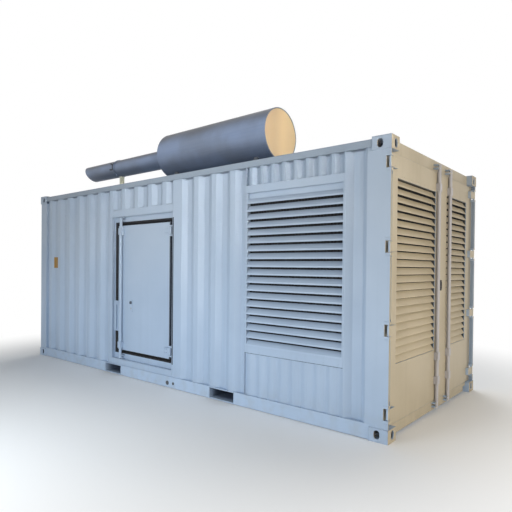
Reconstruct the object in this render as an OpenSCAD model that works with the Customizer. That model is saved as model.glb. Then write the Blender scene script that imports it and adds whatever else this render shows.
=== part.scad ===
// Containerized diesel generator: a 20 ft steel container with louvred end doors, a louvred side bay,
// a side service door and an exhaust silencer lying along the roof.
// X runs along the length with the door end at +X, the service door is on the -Y side, Z is up.
// All sizes are in millimetres and Z = 0 is the underside of the bottom corner castings.

/* [Container] */
// Length over the corner castings
length = 6058; // [5980:1:6140]
// Width over the corner castings
width = 2438; // [2400:1:2480]
// Height over the corner castings
height = 2591; // [2560:1:2620]
// Corner casting length along X
casting_l = 178; // [174:1:184]
// Corner casting width along Y
casting_w = 162; // [156:1:166]
// Corner casting height
casting_h = 118; // [114:1:122]
// Length of the top and bottom casting slots
slot_l = 124.5; // [118:0.5:126]
// Width of the top and bottom casting slots
slot_w = 63.5; // [58:0.5:66]
// Slot centre from the casting end face
slot_from_end = 102.5; // [101:0.5:103]
// Slot centre from the casting side face
slot_from_side = 89.5; // [88:0.5:91]

/* [Frame] */
// Rear corner post size along X
rear_post_l = 220; // [205:1:235]
// Corner post size along Y
post_w = 119; // [116:1:122]
// Wall thickness of posts and rails
tube_t = 6; // [5:0.5:8]
// Inset of posts and rails behind the casting faces
frame_inset = 8; // [6:1:10]
// Top side rail height
top_rail_h = 66; // [58:1:74]
// Top side rail depth
top_rail_d = 64; // [56:1:72]
// Top of the bottom side rail above the castings
floor_rail_z = 18; // [14:1:24]
// Height of the door sill
sill_z = 94; // [86:1:98]
// Underside of the sill
sill_low_z = 24; // [18:1:28]

/* [Walls] */
// Corrugation pitch of the walls
wall_pitch = 283.5; // [265:0.5:302]
// Corrugation depth of the walls
wall_depth = 36; // [28:1:38]
// Sheet thickness of walls and roof
skin_t = 5; // [4:0.5:6]
// Inset of the wall face behind the casting face
wall_inset = 14; // [12:1:16]
// Corrugation pitch over the side louvre
bay_pitch = 138.5; // [128:0.5:150]
// Corrugation depth over the side louvre
bay_depth = 30; // [20:1:36]
// Corrugation pitch of the roof
roof_pitch = 209; // [195:1:225]
// Corrugation depth of the roof
roof_depth = 20; // [14:1:24]

/* [Fork pockets] */
// Pocket opening width
pocket_w = 360; // [340:1:375]
// Distance between pocket centres
pocket_pitch = 2058; // [2040:1:2076]
// Offset of the pocket pair along X
pocket_offset = 71; // [55:1:87]

/* [Side door] */
// Left edge of the doorway beyond the frame opening
doorway_x0 = 60; // [50:1:72]
// Right edge of the doorway in front of the rear post
doorway_x1 = 2545; // [2533:1:2551]
// Top of the doorway above the frame opening
doorway_z1 = 81; // [69:1:99]
// Bottom of the doorway in the wall
doorway_z0 = 210; // [196:1:216]
// Face of the door frame behind the casting face
frame_face = 62; // [60:1:66]
// Width of the door leaf
leaf_w = 1080; // [1066:1:1088]
// Height of the door leaf
leaf_h = 1678; // [1660:1:1686]
// Thickness of the door leaf
leaf_t = 46; // [40:1:50]
// Black rubber gap round the leaf
leaf_gap = 42; // [36:1:46]
// Diameter of the lock rods
rod_d = 38; // [34:1:38]

/* [Side louvre] */
// Left edge of the side louvre opening in front of the rear post
louvre_x0 = 1361; // [1349:1:1373]
// Right edge of the side louvre opening in front of the rear post
louvre_x1 = 234; // [227:1:241]
// Bottom of the side louvre opening
louvre_z0 = 653; // [643:1:663]
// Height of the ribbed panel over the side louvre
bay_top_h = 187; // [180:1:260]
// Pitch of the side louvre blades
louvre_pitch = 82; // [80:0.1:83]
// Rise of each side louvre blade
louvre_rise = 46; // [42:1:50]

/* [End doors] */
// Where the two end doors meet, across Y
door_split = 100; // [80:1:120]
// Face of the end doors behind the casting face
end_face = 44; // [43:1:46]
// Thickness of the end doors
end_t = 44; // [38:1:50]
// Outer edge of the end door louvres from the hinge edge
end_louvre_out = 105; // [90:1:130]
// Width of the stile between each louvre and the meeting edge
end_stile = 130; // [120:1:140]
// Height of the plain plate over the end door louvres
end_plate_h = 202; // [190:1:260]
// Pitch of the end door blades
end_pitch = 70.5; // [68:0.5:71]
// Height of the lowest end door blade
end_blade_z = 642; // [634:1:650]

/* [Silencer] */
// Outside diameter of the silencer
silencer_d = 620; // [580:2:640]
// Height of the silencer axis above the roof
silencer_z = 449; // [429:1:469]
// Silencer axis across Y
silencer_y = -500; // [-540:1:-460]
// Left end of the silencer
silencer_x0 = -544; // [-570:1:-520]
// Right end of the silencer
silencer_x1 = 1344; // [1320:1:1370]
// Outside diameter of the tail pipe
tail_d = 262; // [240:2:280]
// Seam between tail pipe and tail end
tail_seam_x = -1854; // [-1880:1:-1830]
// Tip of the slash cut tail end
tail_tip_x = -2745; // [-2775:1:-2715]

/* [Hidden] */
$fn = 64;
e = 0.01;
// Half sizes of the container
hx = length / 2;
hy = width / 2;
// Inner limits of the castings
cx = hx - casting_l;
cy = hy - casting_w;
top_c = height - casting_h;
// Inner faces of the posts and the rear post front edge
post_y = hy - post_w;
rear_px = hx - rear_post_l;
post_end = 48;
// Top side rails
rail_z1 = height - 18;
rail_z0 = rail_z1 - top_rail_h;
rail_y = hy - frame_inset - top_rail_d;
// Floor and roof levels
rail_low = 6;
flange = 60;
rail_top = casting_h + floor_rail_z;
sill_top = sill_low_z + sill_z;
floor_y = hy - frame_inset - flange - 4;
cross_top = rail_top - tube_t;
floor_top = cross_top + 28;
roof_top = height - 16;
header_top = height - 8;
// Cut at each end of the sill beside the castings
notch_w = 85;
notch_h = 52;
// Side louvre opening and the surround that carries it
lv_x0 = rear_px - louvre_x0;
lv_x1 = rear_px - louvre_x1;
lf_x0 = lv_x0 - 18;
lf_x1 = lv_x1 + 11;
lf_z0 = louvre_z0 - 75;
lf_z1 = rail_z0 - bay_top_h;
lv_z1 = lf_z1 - 78;
lf_back = wall_inset + 46;
seam_step = 4;
blade_t = 6;
blade_lip = 10;
blade_in = wall_inset + 1.5;
blade_back = blade_in + 34;
louvre_n = floor((lv_z1 - louvre_z0 - blade_lip - louvre_rise - blade_t) / louvre_pitch) + 1;
// Side door leaf, frame opening and doorway
dw_x1 = rear_px - doorway_x1;
frame_x1 = dw_x1 - 39;
leaf_x1 = frame_x1 - leaf_gap;
leaf_x0 = leaf_x1 - leaf_w;
frame_x0 = leaf_x0 - leaf_gap;
dw_x0 = frame_x0 - doorway_x0;
frame_z0 = doorway_z0 + 85;
leaf_z0 = frame_z0 + leaf_gap;
leaf_z1 = leaf_z0 + leaf_h;
frame_z1 = leaf_z1 + leaf_gap;
dw_z1 = frame_z1 + doorway_z1;
frame_t = 6;
jamb_w = 88;
leaf_face = frame_face - 12;
leaf_skin = 6;
leaf_rim = 50;
seal_face = leaf_face + leaf_t + 6;
seal_in = leaf_gap + 26;
seal_t = 10;
frame_back = seal_face + 20;
// Hinge line of the side door
pin_r = 7;
knuckle_r = 14;
pin_fit = 0.05;
hinge_x = leaf_x1 + 30;
hinge_in = frame_face - 32;
hinge_h = 76;
hinge_reach = 80;
hinge_zs = [leaf_z0 + 102, leaf_z1 - 108];
// Side lock rod
rod_r = rod_d / 2;
rod_x = leaf_x0 + 87;
rod_in = frame_face - rod_r - 19;
rod_z0 = doorway_z0 + 16;
rod_z1 = dw_z1 - 22;
guide_zs = [leaf_z0 + 70, leaf_z1 - 78];
guide_w = rod_r + 13;
rod_fit = 0.06;
cam_r = rod_r + 11;
cam_zs = [doorway_z0 + 42, dw_z1 - 36];
handle_z = leaf_z0 + 620;
handle_l = 350;
handle_out = 124;
// Plate behind the handle that reaches over the rubber gap, and the key lock
plate_x0 = leaf_x0 - 88;
plate_x1 = leaf_x0 + 52;
plate_z0 = leaf_z0 + 250;
plate_z1 = leaf_z0 + 660;
plate_face = frame_face - 22;
plate_t = 6;
key_x = leaf_x0 + 295;
key_z = leaf_z0 + 650;
key_w = 52;
key_h = 150;
key_t = 6;
key_r = 17;
key_out = 14;
// Wall corrugation: pitch, outer flat, inner flat and depth
corr = [wall_pitch, 72, 70, wall_depth];
bay = [bay_pitch, 34, 26, bay_depth];
bay_low = [bay_pitch, 34, 26, bay_depth / 3];
roof = [roof_pitch, 91, 70, roof_depth];
corr_phase = dw_x1 + jamb_w;
bay_phase = lf_x0 + 54;
roof_phase = 89 - cx;
strip_flat = 14;
strip_slope = 62;
strip_end = 52;
strip_foot = 12;
strip_step = 6;
// Flat band over the service doorway
head_band = 92;
// Fork pockets
pocket_t = 6;
pocket_z0 = rail_low + tube_t + pocket_t;
pocket_h = cross_top - pocket_t - pocket_z0;
pockets = [pocket_offset - pocket_pitch / 2, pocket_offset + pocket_pitch / 2];
pocket_out = pocket_w / 2 + pocket_t;
// Cross members, evenly spaced on each side of the pockets
cross_w = 45;
cross_t = 5;
cross_n = 4;
cross_xs = concat(stations(-cx, pockets[0] - pocket_out),
                  stations(pockets[0] + pocket_out, pockets[1] - pocket_out),
                  stations(pockets[1] + pocket_out, cx));
// End doors
end_gap = 9;
leaf_low = max(sill_top, casting_h) + 6;
leaf_top = top_c - 11;
end_out = post_y - 10;
end_x = hx - end_face;
near_y0 = -end_out;
near_y1 = door_split - end_gap / 2;
far_y0 = door_split + end_gap / 2;
far_y1 = end_out;
near_louvre = [near_y0 + end_louvre_out, near_y1 - end_stile];
far_louvre = [far_y0 + end_stile + 60, far_y1 - end_louvre_out];
slat_t = 5;
slat_rise = 58;
end_z0 = end_blade_z - 4;
end_z1 = leaf_top - end_plate_h;
end_blades = floor((end_z1 - end_blade_z - slat_t - slat_rise) / end_pitch) + 1;
// End door hinges
end_axis_x = hx - 17;
end_axis_y = hy - 29;
end_hinge_h = 80;
end_hinge_reach = 34;
end_low = leaf_low + 121;
end_high = leaf_top - 97;
end_hinges = [for (k = [0, 0.333, 0.665, 1]) end_low + k * (end_high - end_low)];
// End door lock rods
end_rod_x = end_x + rod_r + 3;
end_rods = [near_louvre[1] + 29.5, far_louvre[0] + 45.5];
end_rod_z0 = sill_low_z + 20;
end_rod_z1 = height - 51;
end_guides = [leaf_low + 206, end_z0 - 62, end_z1 + 46];
end_cams = [sill_low_z + 58, height - 79];
keeper_t = 12;
keeper_z = 18;
sill_in = 50;
header_in = 62;
// Silencer details
sil_z = roof_top + silencer_z;
sil_r = silencer_d / 2;
tail_r = tail_d / 2;
sil_t = 8;
cap_t = 12;
pipe_t = 6;
slash = 190;
clamp_w = 32;
clamp_t = 8;
base_t = 12;
saddle_in = 240;
saddle_half = 110;
saddle_web = 170;
saddle_wrap = 50;
saddle_xs = [silencer_x0 + saddle_in, silencer_x1 - saddle_in];
riser_x = silencer_x1 - 567;
riser_r = 105;
riser_base = 140;
tail_post_r = 26;
tail_base = 130;
post_x = tail_seam_x + 45;

// Left edges of the cross members spread evenly over one stretch
function stations(a, b) = [for (i = [0 : cross_n - 1]) a + (i + 0.5) * (b - a) / cross_n - cross_w / 2];

paint = [0.66, 0.72, 0.78];
paint_dark = [0.52, 0.57, 0.62];
black = [0.06, 0.06, 0.08];
steel = [0.36, 0.42, 0.5];
zinc = [0.6, 0.62, 0.64];
wood = [0.42, 0.33, 0.24];

// A box given by its limits on each axis
module box(x0, x1, y0, y1, z0, z1) {
  translate([x0, y0, z0]) cube([x1 - x0, y1 - y0, z1 - z0]);
}

// The same box counted inwards from the near casting face
module near_box(x0, x1, in0, in1, z0, z1) {
  box(x0, x1, -hy + in0, -hy + in1, z0, z1);
}

// A YZ profile drawn out along X
module bar_x(x0, x1, pts) {
  translate([x0, 0, 0]) rotate([90, 0, 90]) linear_extrude(x1 - x0) polygon(pts);
}

// An XZ profile drawn out along Y
module bar_y(y0, y1, pts) {
  translate([0, y1, 0]) rotate([90, 0, 0]) linear_extrude(y1 - y0) polygon(pts);
}

// An XY profile drawn out along Z
module bar_z(z0, z1, pts) {
  translate([0, 0, z0]) linear_extrude(z1 - z0) polygon(pts);
}

// An upright cylinder
module rod_z(x, y, z0, z1, r) {
  translate([x, y, z0]) cylinder(h = z1 - z0, r = r);
}

// A cylinder along X
module rod_x_axis(x0, x1, y, z, r) {
  translate([x0, y, z]) rotate([0, 90, 0]) cylinder(h = x1 - x0, r = r);
}

// Both the near piece and its mirror image on the far side
module both_sides() {
  children();
  mirror([0, 1, 0]) children();
}

// Stations of a corrugated sheet between two ends
function corr_xs(a, b, c, ph) =
  let (s = (c[0] - c[1] - c[2]) / 2)
  concat([a],
         [for (k = [floor((a - ph) / c[0]) : ceil((b - ph) / c[0])])
            for (o = [0, c[1], c[1] + s, c[1] + s + c[2]])
              let (x = ph + k * c[0] + o)
              if (x > a + 1 && x < b - 1) x],
         [b]);

// Depth of a corrugated sheet at one station
function corr_d(x, c, ph) =
  let (s = (c[0] - c[1] - c[2]) / 2, u = x - ph - c[0] * floor((x - ph) / c[0]))
  u <= c[1] ? 0 :
  u < c[1] + s ? c[3] * (u - c[1]) / s :
  u <= c[1] + s + c[2] ? c[3] :
  c[3] * (c[0] - u) / s;

// Closed outline of a corrugated sheet, its face at depth zero
function corr_pts(a, b, c, ph, t) =
  let (xs = corr_xs(a, b, c, ph), n = len(xs))
  concat([for (x = xs) [x, corr_d(x, c, ph)]],
         [for (i = [n - 1 : -1 : 0]) [xs[i], corr_d(xs[i], c, ph) + t]]);

// The same outline with a flush flange of width w at its start and a return to the face at its end
function step_pts(a, b, c, ph, t, w) =
  let (xs = corr_xs(a + w, b, c, ph), n = len(xs), da = corr_d(a + w, c, ph), db = corr_d(b, c, ph))
  concat(w > 0 && da > 1 ? [[a, 0], [a + w, 0]] : [[a, w > 0 ? 0 : da]],
         [for (i = [w > 0 ? 0 : 1 : 1 : n - 2]) [xs[i], corr_d(xs[i], c, ph)]],
         db > 1 ? [[b - t, db], [b - t, 0], [b, 0], [b, db + t]] : [[b, db], [b, db + t]],
         [for (i = [n - 2 : -1 : 1]) [xs[i], corr_d(xs[i], c, ph) + t]],
         w > 0 && da > 1 ? [[a + w - t, da + t], [a + w - t, t], [a, t]] : [[a, (w > 0 ? 0 : da) + t]]);

// A corrugated stretch of the near wall
module near_corr(x0, x1, z0, z1, c, ph) {
  translate([0, -hy + wall_inset, 0]) bar_z(z0, z1, corr_pts(x0, x1, c, ph, skin_t));
}

// A corrugated stretch that ends beside the louvre bay
module near_step(x0, x1, z0, z1, c, ph, w) {
  translate([0, -hy + wall_inset, 0]) bar_z(z0, z1, step_pts(x0, x1, c, ph, skin_t, w));
}

// One bottom casting at the +X -Y corner, hollow and open through three faces
module casting() {
  sx = casting_l - slot_from_end;
  difference() {
    box(cx, hx, -hy, -cy, 0, casting_h);
    box(cx + 12, hx - 24, -hy + 22, -cy - 12, 28, casting_h - 20);
    translate([cx + sx, -hy + slot_from_side, -1]) slot(slot_l, slot_w, 30);
    translate([cx + sx, -hy - 1, casting_h / 2 + 4]) rotate([-90, 0, 0]) slot_up(52, 76, 24);
    translate([hx - 25, -hy + slot_from_side, casting_h / 2 + 4]) rotate([90, 0, 90]) slot_up(54, 78, 26);
  }
}

// A slot with round ends lying along X
module slot(l, w, h) {
  d = (l - w) / 2;
  translate([-d, 0, 0]) cylinder(h = h, r = w / 2);
  translate([d, 0, 0]) cylinder(h = h, r = w / 2);
  translate([-d, -w / 2, 0]) cube([2 * d, w, h]);
}

// A slot with round ends standing along Y
module slot_up(w, l, h) {
  rotate([0, 0, 90]) slot(l, w, h);
}

module four_corners() {
  for (a = [0, 1]) for (b = [0, 1]) mirror([a, 0, 0]) mirror([0, b, 0]) children();
}

module bottom_castings() {
  color(paint) four_corners() casting();
}

module top_castings() {
  color(paint) four_corners() translate([0, 0, height]) mirror([0, 0, 1]) casting();
}

module front_posts() {
  color(paint) both_sides() difference() {
    box(-hx + frame_inset, -cx, -hy + frame_inset, -post_y, casting_h, top_c);
    box(-hx + frame_inset + tube_t, -cx - tube_t, -hy + frame_inset + tube_t, -post_y - tube_t,
        casting_h - 1, top_c + 1);
  }
}

module rear_posts() {
  y0 = -hy + frame_inset;
  x1 = hx - post_end - tube_t;
  color(paint) both_sides() difference() {
    union() {
      box(cx - e, hx - post_end, y0, -post_y, casting_h, top_c);
      box(rear_px, cx, y0, -post_y, rail_top, top_c);
      box(hx - post_end - e, hx - 4, y0, y0 + 10, casting_h, top_c);
    }
    box(rear_px + tube_t, x1, y0 + tube_t, -post_y - tube_t, rail_top + tube_t, top_c - tube_t);
    box(cx + tube_t, x1, y0 + tube_t, -post_y - tube_t, casting_h - 1, rail_top + tube_t + 1);
    for (z = end_hinges)
      box(hx - post_end, hx, -hy, y0 + 11, z - end_hinge_h / 2 - 36, z + end_hinge_h / 2 + 36);
  }
}

module bottom_side_rails() {
  a = frame_inset;
  color(paint) both_sides() difference() {
    box(-cx, cx, -hy + a, -hy + a + flange, rail_low, rail_top);
    box(-cx - 1, cx + 1, -hy + a + tube_t, -hy + a + flange + 1, rail_low + tube_t, cross_top);
    for (x = pockets) box(x - pocket_w / 2 - pocket_t, x + pocket_w / 2 + pocket_t, -hy - 1,
                          -hy + a + flange + 1, pocket_z0 - pocket_t, pocket_z0 + pocket_h + pocket_t);
  }
}

module top_side_rails() {
  a = frame_inset;
  color(paint) both_sides() difference() {
    box(-cx, cx, -hy + a, -rail_y, rail_z0, rail_z1);
    box(-cx - 1, cx + 1, -hy + a + tube_t, -rail_y - tube_t, rail_z0 + tube_t, rail_z1 - tube_t);
  }
}

module front_rails() {
  color(paint) {
    difference() {
      union() {
        box(-hx + frame_inset, -cx, -cy, cy, rail_low, rail_top);
        box(-hx + frame_inset, -cx, -post_y, post_y, casting_h, rail_top);
      }
      box(-hx + frame_inset + tube_t, -cx + 1, -cy - 60, cy + 60, rail_low + tube_t, cross_top);
    }
    difference() {
      box(-hx + frame_inset, -cx, -cy, cy, top_c, rail_z1);
      box(-hx + frame_inset + tube_t, -cx - tube_t, -cy - 1, cy + 1, top_c + tube_t, rail_z1 - tube_t);
    }
  }
}

module rear_sill() {
  x0 = cx + 20;
  x1 = hx - sill_in;
  t = tube_t;
  color(paint) difference() {
    box(x0, x1, -cy, cy, sill_low_z, sill_top);
    box(x0 + t, x1 - t, -cy - 1, cy + 1, sill_low_z + t, sill_top - t);
    for (y = [-cy - 1, cy - notch_w])
      box(x0 - 1, x1 + 1, y, y + notch_w + 1, sill_low_z - 1, sill_low_z + notch_h);
  }
}

module rear_header() {
  x1 = hx - header_in;
  color(paint) difference() {
    box(cx, x1, -cy, cy, top_c, header_top);
    box(cx + tube_t, x1 - tube_t, -cy - 1, cy + 1, top_c + tube_t, header_top - tube_t);
  }
}

module cross_members() {
  y1 = hy - frame_inset - tube_t;
  z0 = rail_low + tube_t;
  z1 = cross_top;
  w = cross_w;
  t = cross_t;
  color(paint_dark) for (x = cross_xs)
    bar_y(-y1, y1, [[x, z0], [x + w, z0], [x + w, z0 + t], [x + t, z0 + t], [x + t, z1 - t],
                    [x + w, z1 - t], [x + w, z1], [x, z1]]);
}

module fork_pockets() {
  y1 = hy - frame_inset;
  color(paint_dark) for (x = pockets) difference() {
    box(x - pocket_w / 2 - pocket_t, x + pocket_w / 2 + pocket_t, -y1, y1, pocket_z0 - pocket_t,
        pocket_z0 + pocket_h + pocket_t);
    box(x - pocket_w / 2, x + pocket_w / 2, -y1 - 1, y1 + 1, pocket_z0, pocket_z0 + pocket_h);
  }
}

module floor_plate() {
  x1 = end_x - end_t - 8;
  color(wood) {
    box(-cx, rear_px, -floor_y, floor_y, cross_top, floor_top);
    box(rear_px - e, x1, -post_y, post_y, cross_top, floor_top);
  }
}

module roof_panel() {
  p = corr_pts(-cx, cx, roof, roof_phase, skin_t);
  color(paint) bar_y(-rail_y, rail_y, [for (q = p) [q[0], roof_top - q[1]]]);
}

module front_wall() {
  p = corr_pts(-post_y, post_y, corr, -corr[1] / 2, skin_t);
  x0 = -hx + wall_inset;
  color(paint) bar_z(rail_top, top_c, [for (q = p) [x0 + q[1], q[0]]]);
}

module near_wall_front() {
  color(paint) near_corr(-cx, dw_x0, rail_top, rail_z0, corr, corr_phase);
}

module door_bay_panels() {
  t = skin_t;
  zh = dw_z1 + head_band;
  y0 = -hy + wall_inset;
  y1 = y0 + wall_depth + t;
  color(paint) {
    near_corr(dw_x0, dw_x1, zh, rail_z0, corr, corr_phase);
    bar_x(dw_x0, dw_x1, [[y0, dw_z1], [y0, zh], [y1, zh], [y1, zh - t], [y0 + t, zh - t], [y0 + t, dw_z1]]);
    near_box(dw_x0, dw_x1, wall_inset, wall_inset + t, rail_top, doorway_z0);
  }
}

module near_wall_middle() {
  color(paint) near_step(dw_x1, lf_x0, rail_top, rail_z0, corr, corr_phase, jamb_w);
}

module bay_panels() {
  near_corr(lf_x0, lf_x1, lf_z1, rail_z0, bay, bay_phase);
  translate([0, seam_step, 0]) near_corr(lf_x0, lf_x1, rail_top, lf_z0, bay_low, bay_phase);
}

module near_bay_panels() {
  color(paint) bay_panels();
}

module far_bay_panels() {
  color(paint) mirror([0, 1, 0]) bay_panels();
}

module rear_wall_strips() {
  d = wall_depth;
  t = skin_t;
  xa = lf_x1 + strip_flat;
  xb = xa + strip_slope;
  xc = rear_px - strip_end;
  xd = rear_px - strip_foot;
  f = strip_step;
  g = bay_depth + t;
  p = [[lf_x1, 0], [xa, 0], [xb, d], [xc, d], [xd, f], [rear_px, f],
       [rear_px, f + t], [xd, f + t], [xc, d + t], [xb, d + t], [xa, t],
       [lf_x1 + t, t], [lf_x1 + t, g], [lf_x1, g]];
  color(paint) both_sides() {
    translate([0, -hy + wall_inset, 0]) bar_z(rail_top, rail_z0, p);
    near_box(rear_px - e, cx, wall_inset, wall_inset + t, top_c, rail_z0);
  }
}

module far_wall() {
  color(paint) mirror([0, 1, 0]) near_step(-cx, lf_x0, rail_top, rail_z0, corr, corr_phase, 0);
}

module louvre_frame() {
  difference() {
    near_box(lf_x0, lf_x1, wall_inset, lf_back, lf_z0, lf_z1);
    near_box(lv_x0, lv_x1, wall_inset - 1, lf_back + 1, louvre_z0, lv_z1);
  }
}

module louvre_blades() {
  y0 = -hy + blade_in;
  y1 = -hy + blade_back;
  t = blade_t;
  for (k = [0 : louvre_n - 1]) {
    z = louvre_z0 + k * louvre_pitch;
    zs = z + blade_lip;
    zb = zs + louvre_rise;
    bar_x(lv_x0, lv_x1, [[y0, z], [y0 + 4, z], [y0 + 4, zs], [y1, zb], [y1, zb + t], [y0, zs + t]]);
    if (k == louvre_n - 1) near_box(lv_x0, lv_x1, blade_back - 4, blade_back, zb, lv_z1);
  }
}

module near_louvre_frame() {
  color(paint) louvre_frame();
}

module near_louvre_blades() {
  color(paint) louvre_blades();
}

module far_louvre_frame() {
  color(paint) mirror([0, 1, 0]) louvre_frame();
}

module far_louvre_blades() {
  color(paint) mirror([0, 1, 0]) louvre_blades();
}

module side_door_frame() {
  t = frame_t;
  color(paint) difference() {
    near_box(dw_x0, dw_x1, wall_inset, frame_back, doorway_z0, dw_z1);
    near_box(dw_x0 + t, dw_x1 - t, wall_inset - 1, frame_face, doorway_z0 + t, dw_z1 - t);
    near_box(frame_x0, frame_x1, wall_inset, frame_back + 1, frame_z0, frame_z1);
  }
}

module side_door_seal() {
  i = seal_in;
  t = seal_t;
  color(black) difference() {
    near_box(frame_x0, frame_x1, frame_face, frame_back, frame_z0, frame_z1);
    near_box(frame_x0 + t, frame_x1 - t, frame_face - 1, seal_face, frame_z0 + t, frame_z1 - t);
    near_box(frame_x0 + i, frame_x1 - i, frame_face, frame_back + 1, frame_z0 + i, frame_z1 - i);
  }
}

// Fixed knuckles of the service door with their pins
module side_door_lugs() {
  y = -hy + hinge_in;
  z0 = hinge_h / 2 + 10;
  z1 = z0 + 18;
  color(zinc) for (z = hinge_zs) {
    for (a = [z + z0, z - z1]) {
      rod_z(hinge_x, y, a, a + 18, knuckle_r);
      near_box(hinge_x, dw_x1 - 12, hinge_in - knuckle_r, hinge_in + knuckle_r - 2, a, a + 18);
      near_box(frame_x1, dw_x1 - 12, hinge_in, frame_face, a, a + 18);
    }
    rod_z(hinge_x, y, z - z1, z + z1, pin_r);
  }
}

module side_door_keepers() {
  x0 = rod_x + rod_r + 7;
  t = keeper_t / 2;
  color(zinc) for (z = cam_zs) for (s = [-keeper_z, keeper_z])
    near_box(x0, x0 + 35, frame_face - 46, frame_face, z + s - t, z + s + t);
}

module side_door_leaf() {
  r = leaf_rim;
  color(paint) difference() {
    near_box(leaf_x0, leaf_x1, leaf_face, leaf_face + leaf_t, leaf_z0, leaf_z1);
    near_box(leaf_x0 + r, leaf_x1 - r, leaf_face + leaf_skin, leaf_face + leaf_t + 1,
             leaf_z0 + r, leaf_z1 - r);
  }
}

module side_door_hinges() {
  y = -hy + hinge_in;
  h = hinge_h / 2;
  color(paint) for (z = hinge_zs) difference() {
    union() {
      rod_z(hinge_x, y, z - h - 4, z + h + 4, knuckle_r);
      near_box(leaf_x1 - hinge_reach, hinge_x, hinge_in - 6, hinge_in + 6, z - h, z + h);
      near_box(leaf_x1 - hinge_reach, leaf_x1 - 4, hinge_in - 6, leaf_face, z - h, z + h);
    }
    rod_z(hinge_x, y, z - h - 10, z + h + 10, pin_r + pin_fit);
  }
}

module side_rod_guides() {
  color(paint) for (z = guide_zs) difference() {
    near_box(rod_x - guide_w, rod_x + guide_w, rod_in - rod_r - 3, leaf_face, z - 42, z + 42);
    rod_z(rod_x, -hy + rod_in, z - 60, z + 60, rod_r + rod_fit);
  }
}

module side_door_lock() {
  f = plate_face;
  z0 = key_z - key_h + key_w / 2;
  color(paint) {
    near_box(plate_x0, plate_x1, f, f + plate_t, plate_z0, plate_z1);
    near_box(leaf_x0, plate_x1, f + plate_t - e, leaf_face, plate_z0, plate_z1);
    near_box(key_x - key_w / 2, key_x + key_w / 2, leaf_face - key_t, leaf_face, z0, z0 + key_h);
    translate([key_x, -hy + leaf_face - key_t + e, key_z]) rotate([90, 0, 0])
      cylinder(h = key_out, r = key_r);
  }
}

module side_lock_rod() {
  y = -hy + rod_in;
  x0 = rod_x - handle_out;
  color(paint) {
    rod_z(rod_x, y, rod_z0, rod_z1, rod_r);
    for (z = cam_zs) box(rod_x, rod_x + cam_r, y - 7, y + 7, z - 6, z + 6);
    box(x0, rod_x, y - 8, y + 8, handle_z - 12, handle_z + 12);
    box(x0, x0 + 26, y - 8, y + 8, handle_z - handle_l, handle_z + 12);
  }
}

// Fixed knuckles of the end doors with their pins
module end_door_lugs() {
  z0 = end_hinge_h / 2 + 11;
  z1 = z0 + 24;
  color(zinc) both_sides() for (z = end_hinges) {
    for (a = [z + z0, z - z1])
      box(hx - post_end, hx - 2, -hy + frame_inset, -end_axis_y + 16, a, a + 24);
    rod_z(end_axis_x, -end_axis_y, z - z1, z + z1, pin_r);
  }
}

module end_door_keepers() {
  faces = [hx - sill_in, hx - header_in];
  x1 = end_rod_x + 14;
  t = keeper_t / 2;
  color(zinc) for (y = end_rods) for (k = [0, 1]) for (s = [-keeper_z, keeper_z])
    let (y1 = y - rod_r - 7, z = end_cams[k] + s)
      box(faces[k], x1, y1 - 39, y1, z - t, z + t);
}

// One end door leaf between two edges across Y with its louvre between two others
module end_leaf(y0, y1, l) {
  x0 = end_x - end_t;
  difference() {
    box(x0, end_x, y0, y1, leaf_low, leaf_top);
    difference() {
      box(x0 - 1, end_x - 6, y0 + 45, y1 - 45, leaf_low + 45, leaf_top - 45);
      box(x0 - 2, end_x, l[0] - 25, l[1] + 25, end_z0 - 25, end_z1 + 25);
    }
    box(x0 - 2, end_x + 1, l[0], l[1], end_z0, end_z1);
  }
}

module end_slats(l) {
  x0 = end_x - 2;
  x1 = end_x - end_t + 2;
  for (k = [0 : end_blades - 1]) {
    z = end_blade_z + k * end_pitch;
    bar_y(l[0], l[1], [[x0, z], [x0, z + slat_t], [x1, z + slat_rise + slat_t], [x1, z + slat_rise]]);
  }
}

module end_hinge_set(s) {
  h = end_hinge_h / 2;
  color(paint) mirror([0, s, 0]) for (z = end_hinges) difference() {
    union() {
      rod_z(end_axis_x, -end_axis_y, z - h - 4, z + h + 4, knuckle_r);
      box(end_axis_x - 6, end_axis_x + 6, -end_axis_y, -end_out + end_hinge_reach, z - h, z + h);
      box(end_x, end_axis_x + 6, -end_out + 4, -end_out + end_hinge_reach, z - h, z + h);
    }
    rod_z(end_axis_x, -end_axis_y, z - h - 10, z + h + 10, pin_r + pin_fit);
  }
}

// A lock rod with its cams and the guides that carry it
module end_rod(y) {
  color(paint) {
    rod_z(end_rod_x, y, end_rod_z0, end_rod_z1, rod_r);
    for (z = end_cams) box(end_rod_x - 7, end_rod_x + 7, y - cam_r, y, z - 6, z + 6);
    for (z = end_guides) box(end_x, end_rod_x + rod_r + 1, y - rod_r - 11, y + rod_r + 11, z - 40, z + 40);
  }
}

module near_end_leaf() {
  color(paint) end_leaf(near_y0, near_y1, near_louvre);
}

module near_end_blades() {
  color(paint) end_slats(near_louvre);
}

module near_end_hinges() {
  end_hinge_set(0);
}

module near_end_rod() {
  end_rod(end_rods[0]);
}

module far_end_leaf() {
  color(paint) end_leaf(far_y0, far_y1, far_louvre);
}

module far_end_blades() {
  color(paint) end_slats(far_louvre);
}

module far_end_hinges() {
  end_hinge_set(1);
}

module far_end_rod() {
  end_rod(end_rods[1]);
}

module rail_fittings() {
  y = -hy + frame_inset;
  color(zinc) {
    translate([dw_x1 - 68, y, 58]) rotate([90, 0, 0]) cylinder(h = 6, r = 25);
    translate([dw_x1 + 38, y, 63]) rotate([90, 0, 0]) cylinder(h = 6, r = 16);
  }
}

module silencer_shell() {
  color(steel) difference() {
    rod_x_axis(silencer_x0, silencer_x1, silencer_y, sil_z, sil_r);
    rod_x_axis(silencer_x0 - 1, silencer_x1 + 1, silencer_y, sil_z, sil_r - sil_t);
  }
}

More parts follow.
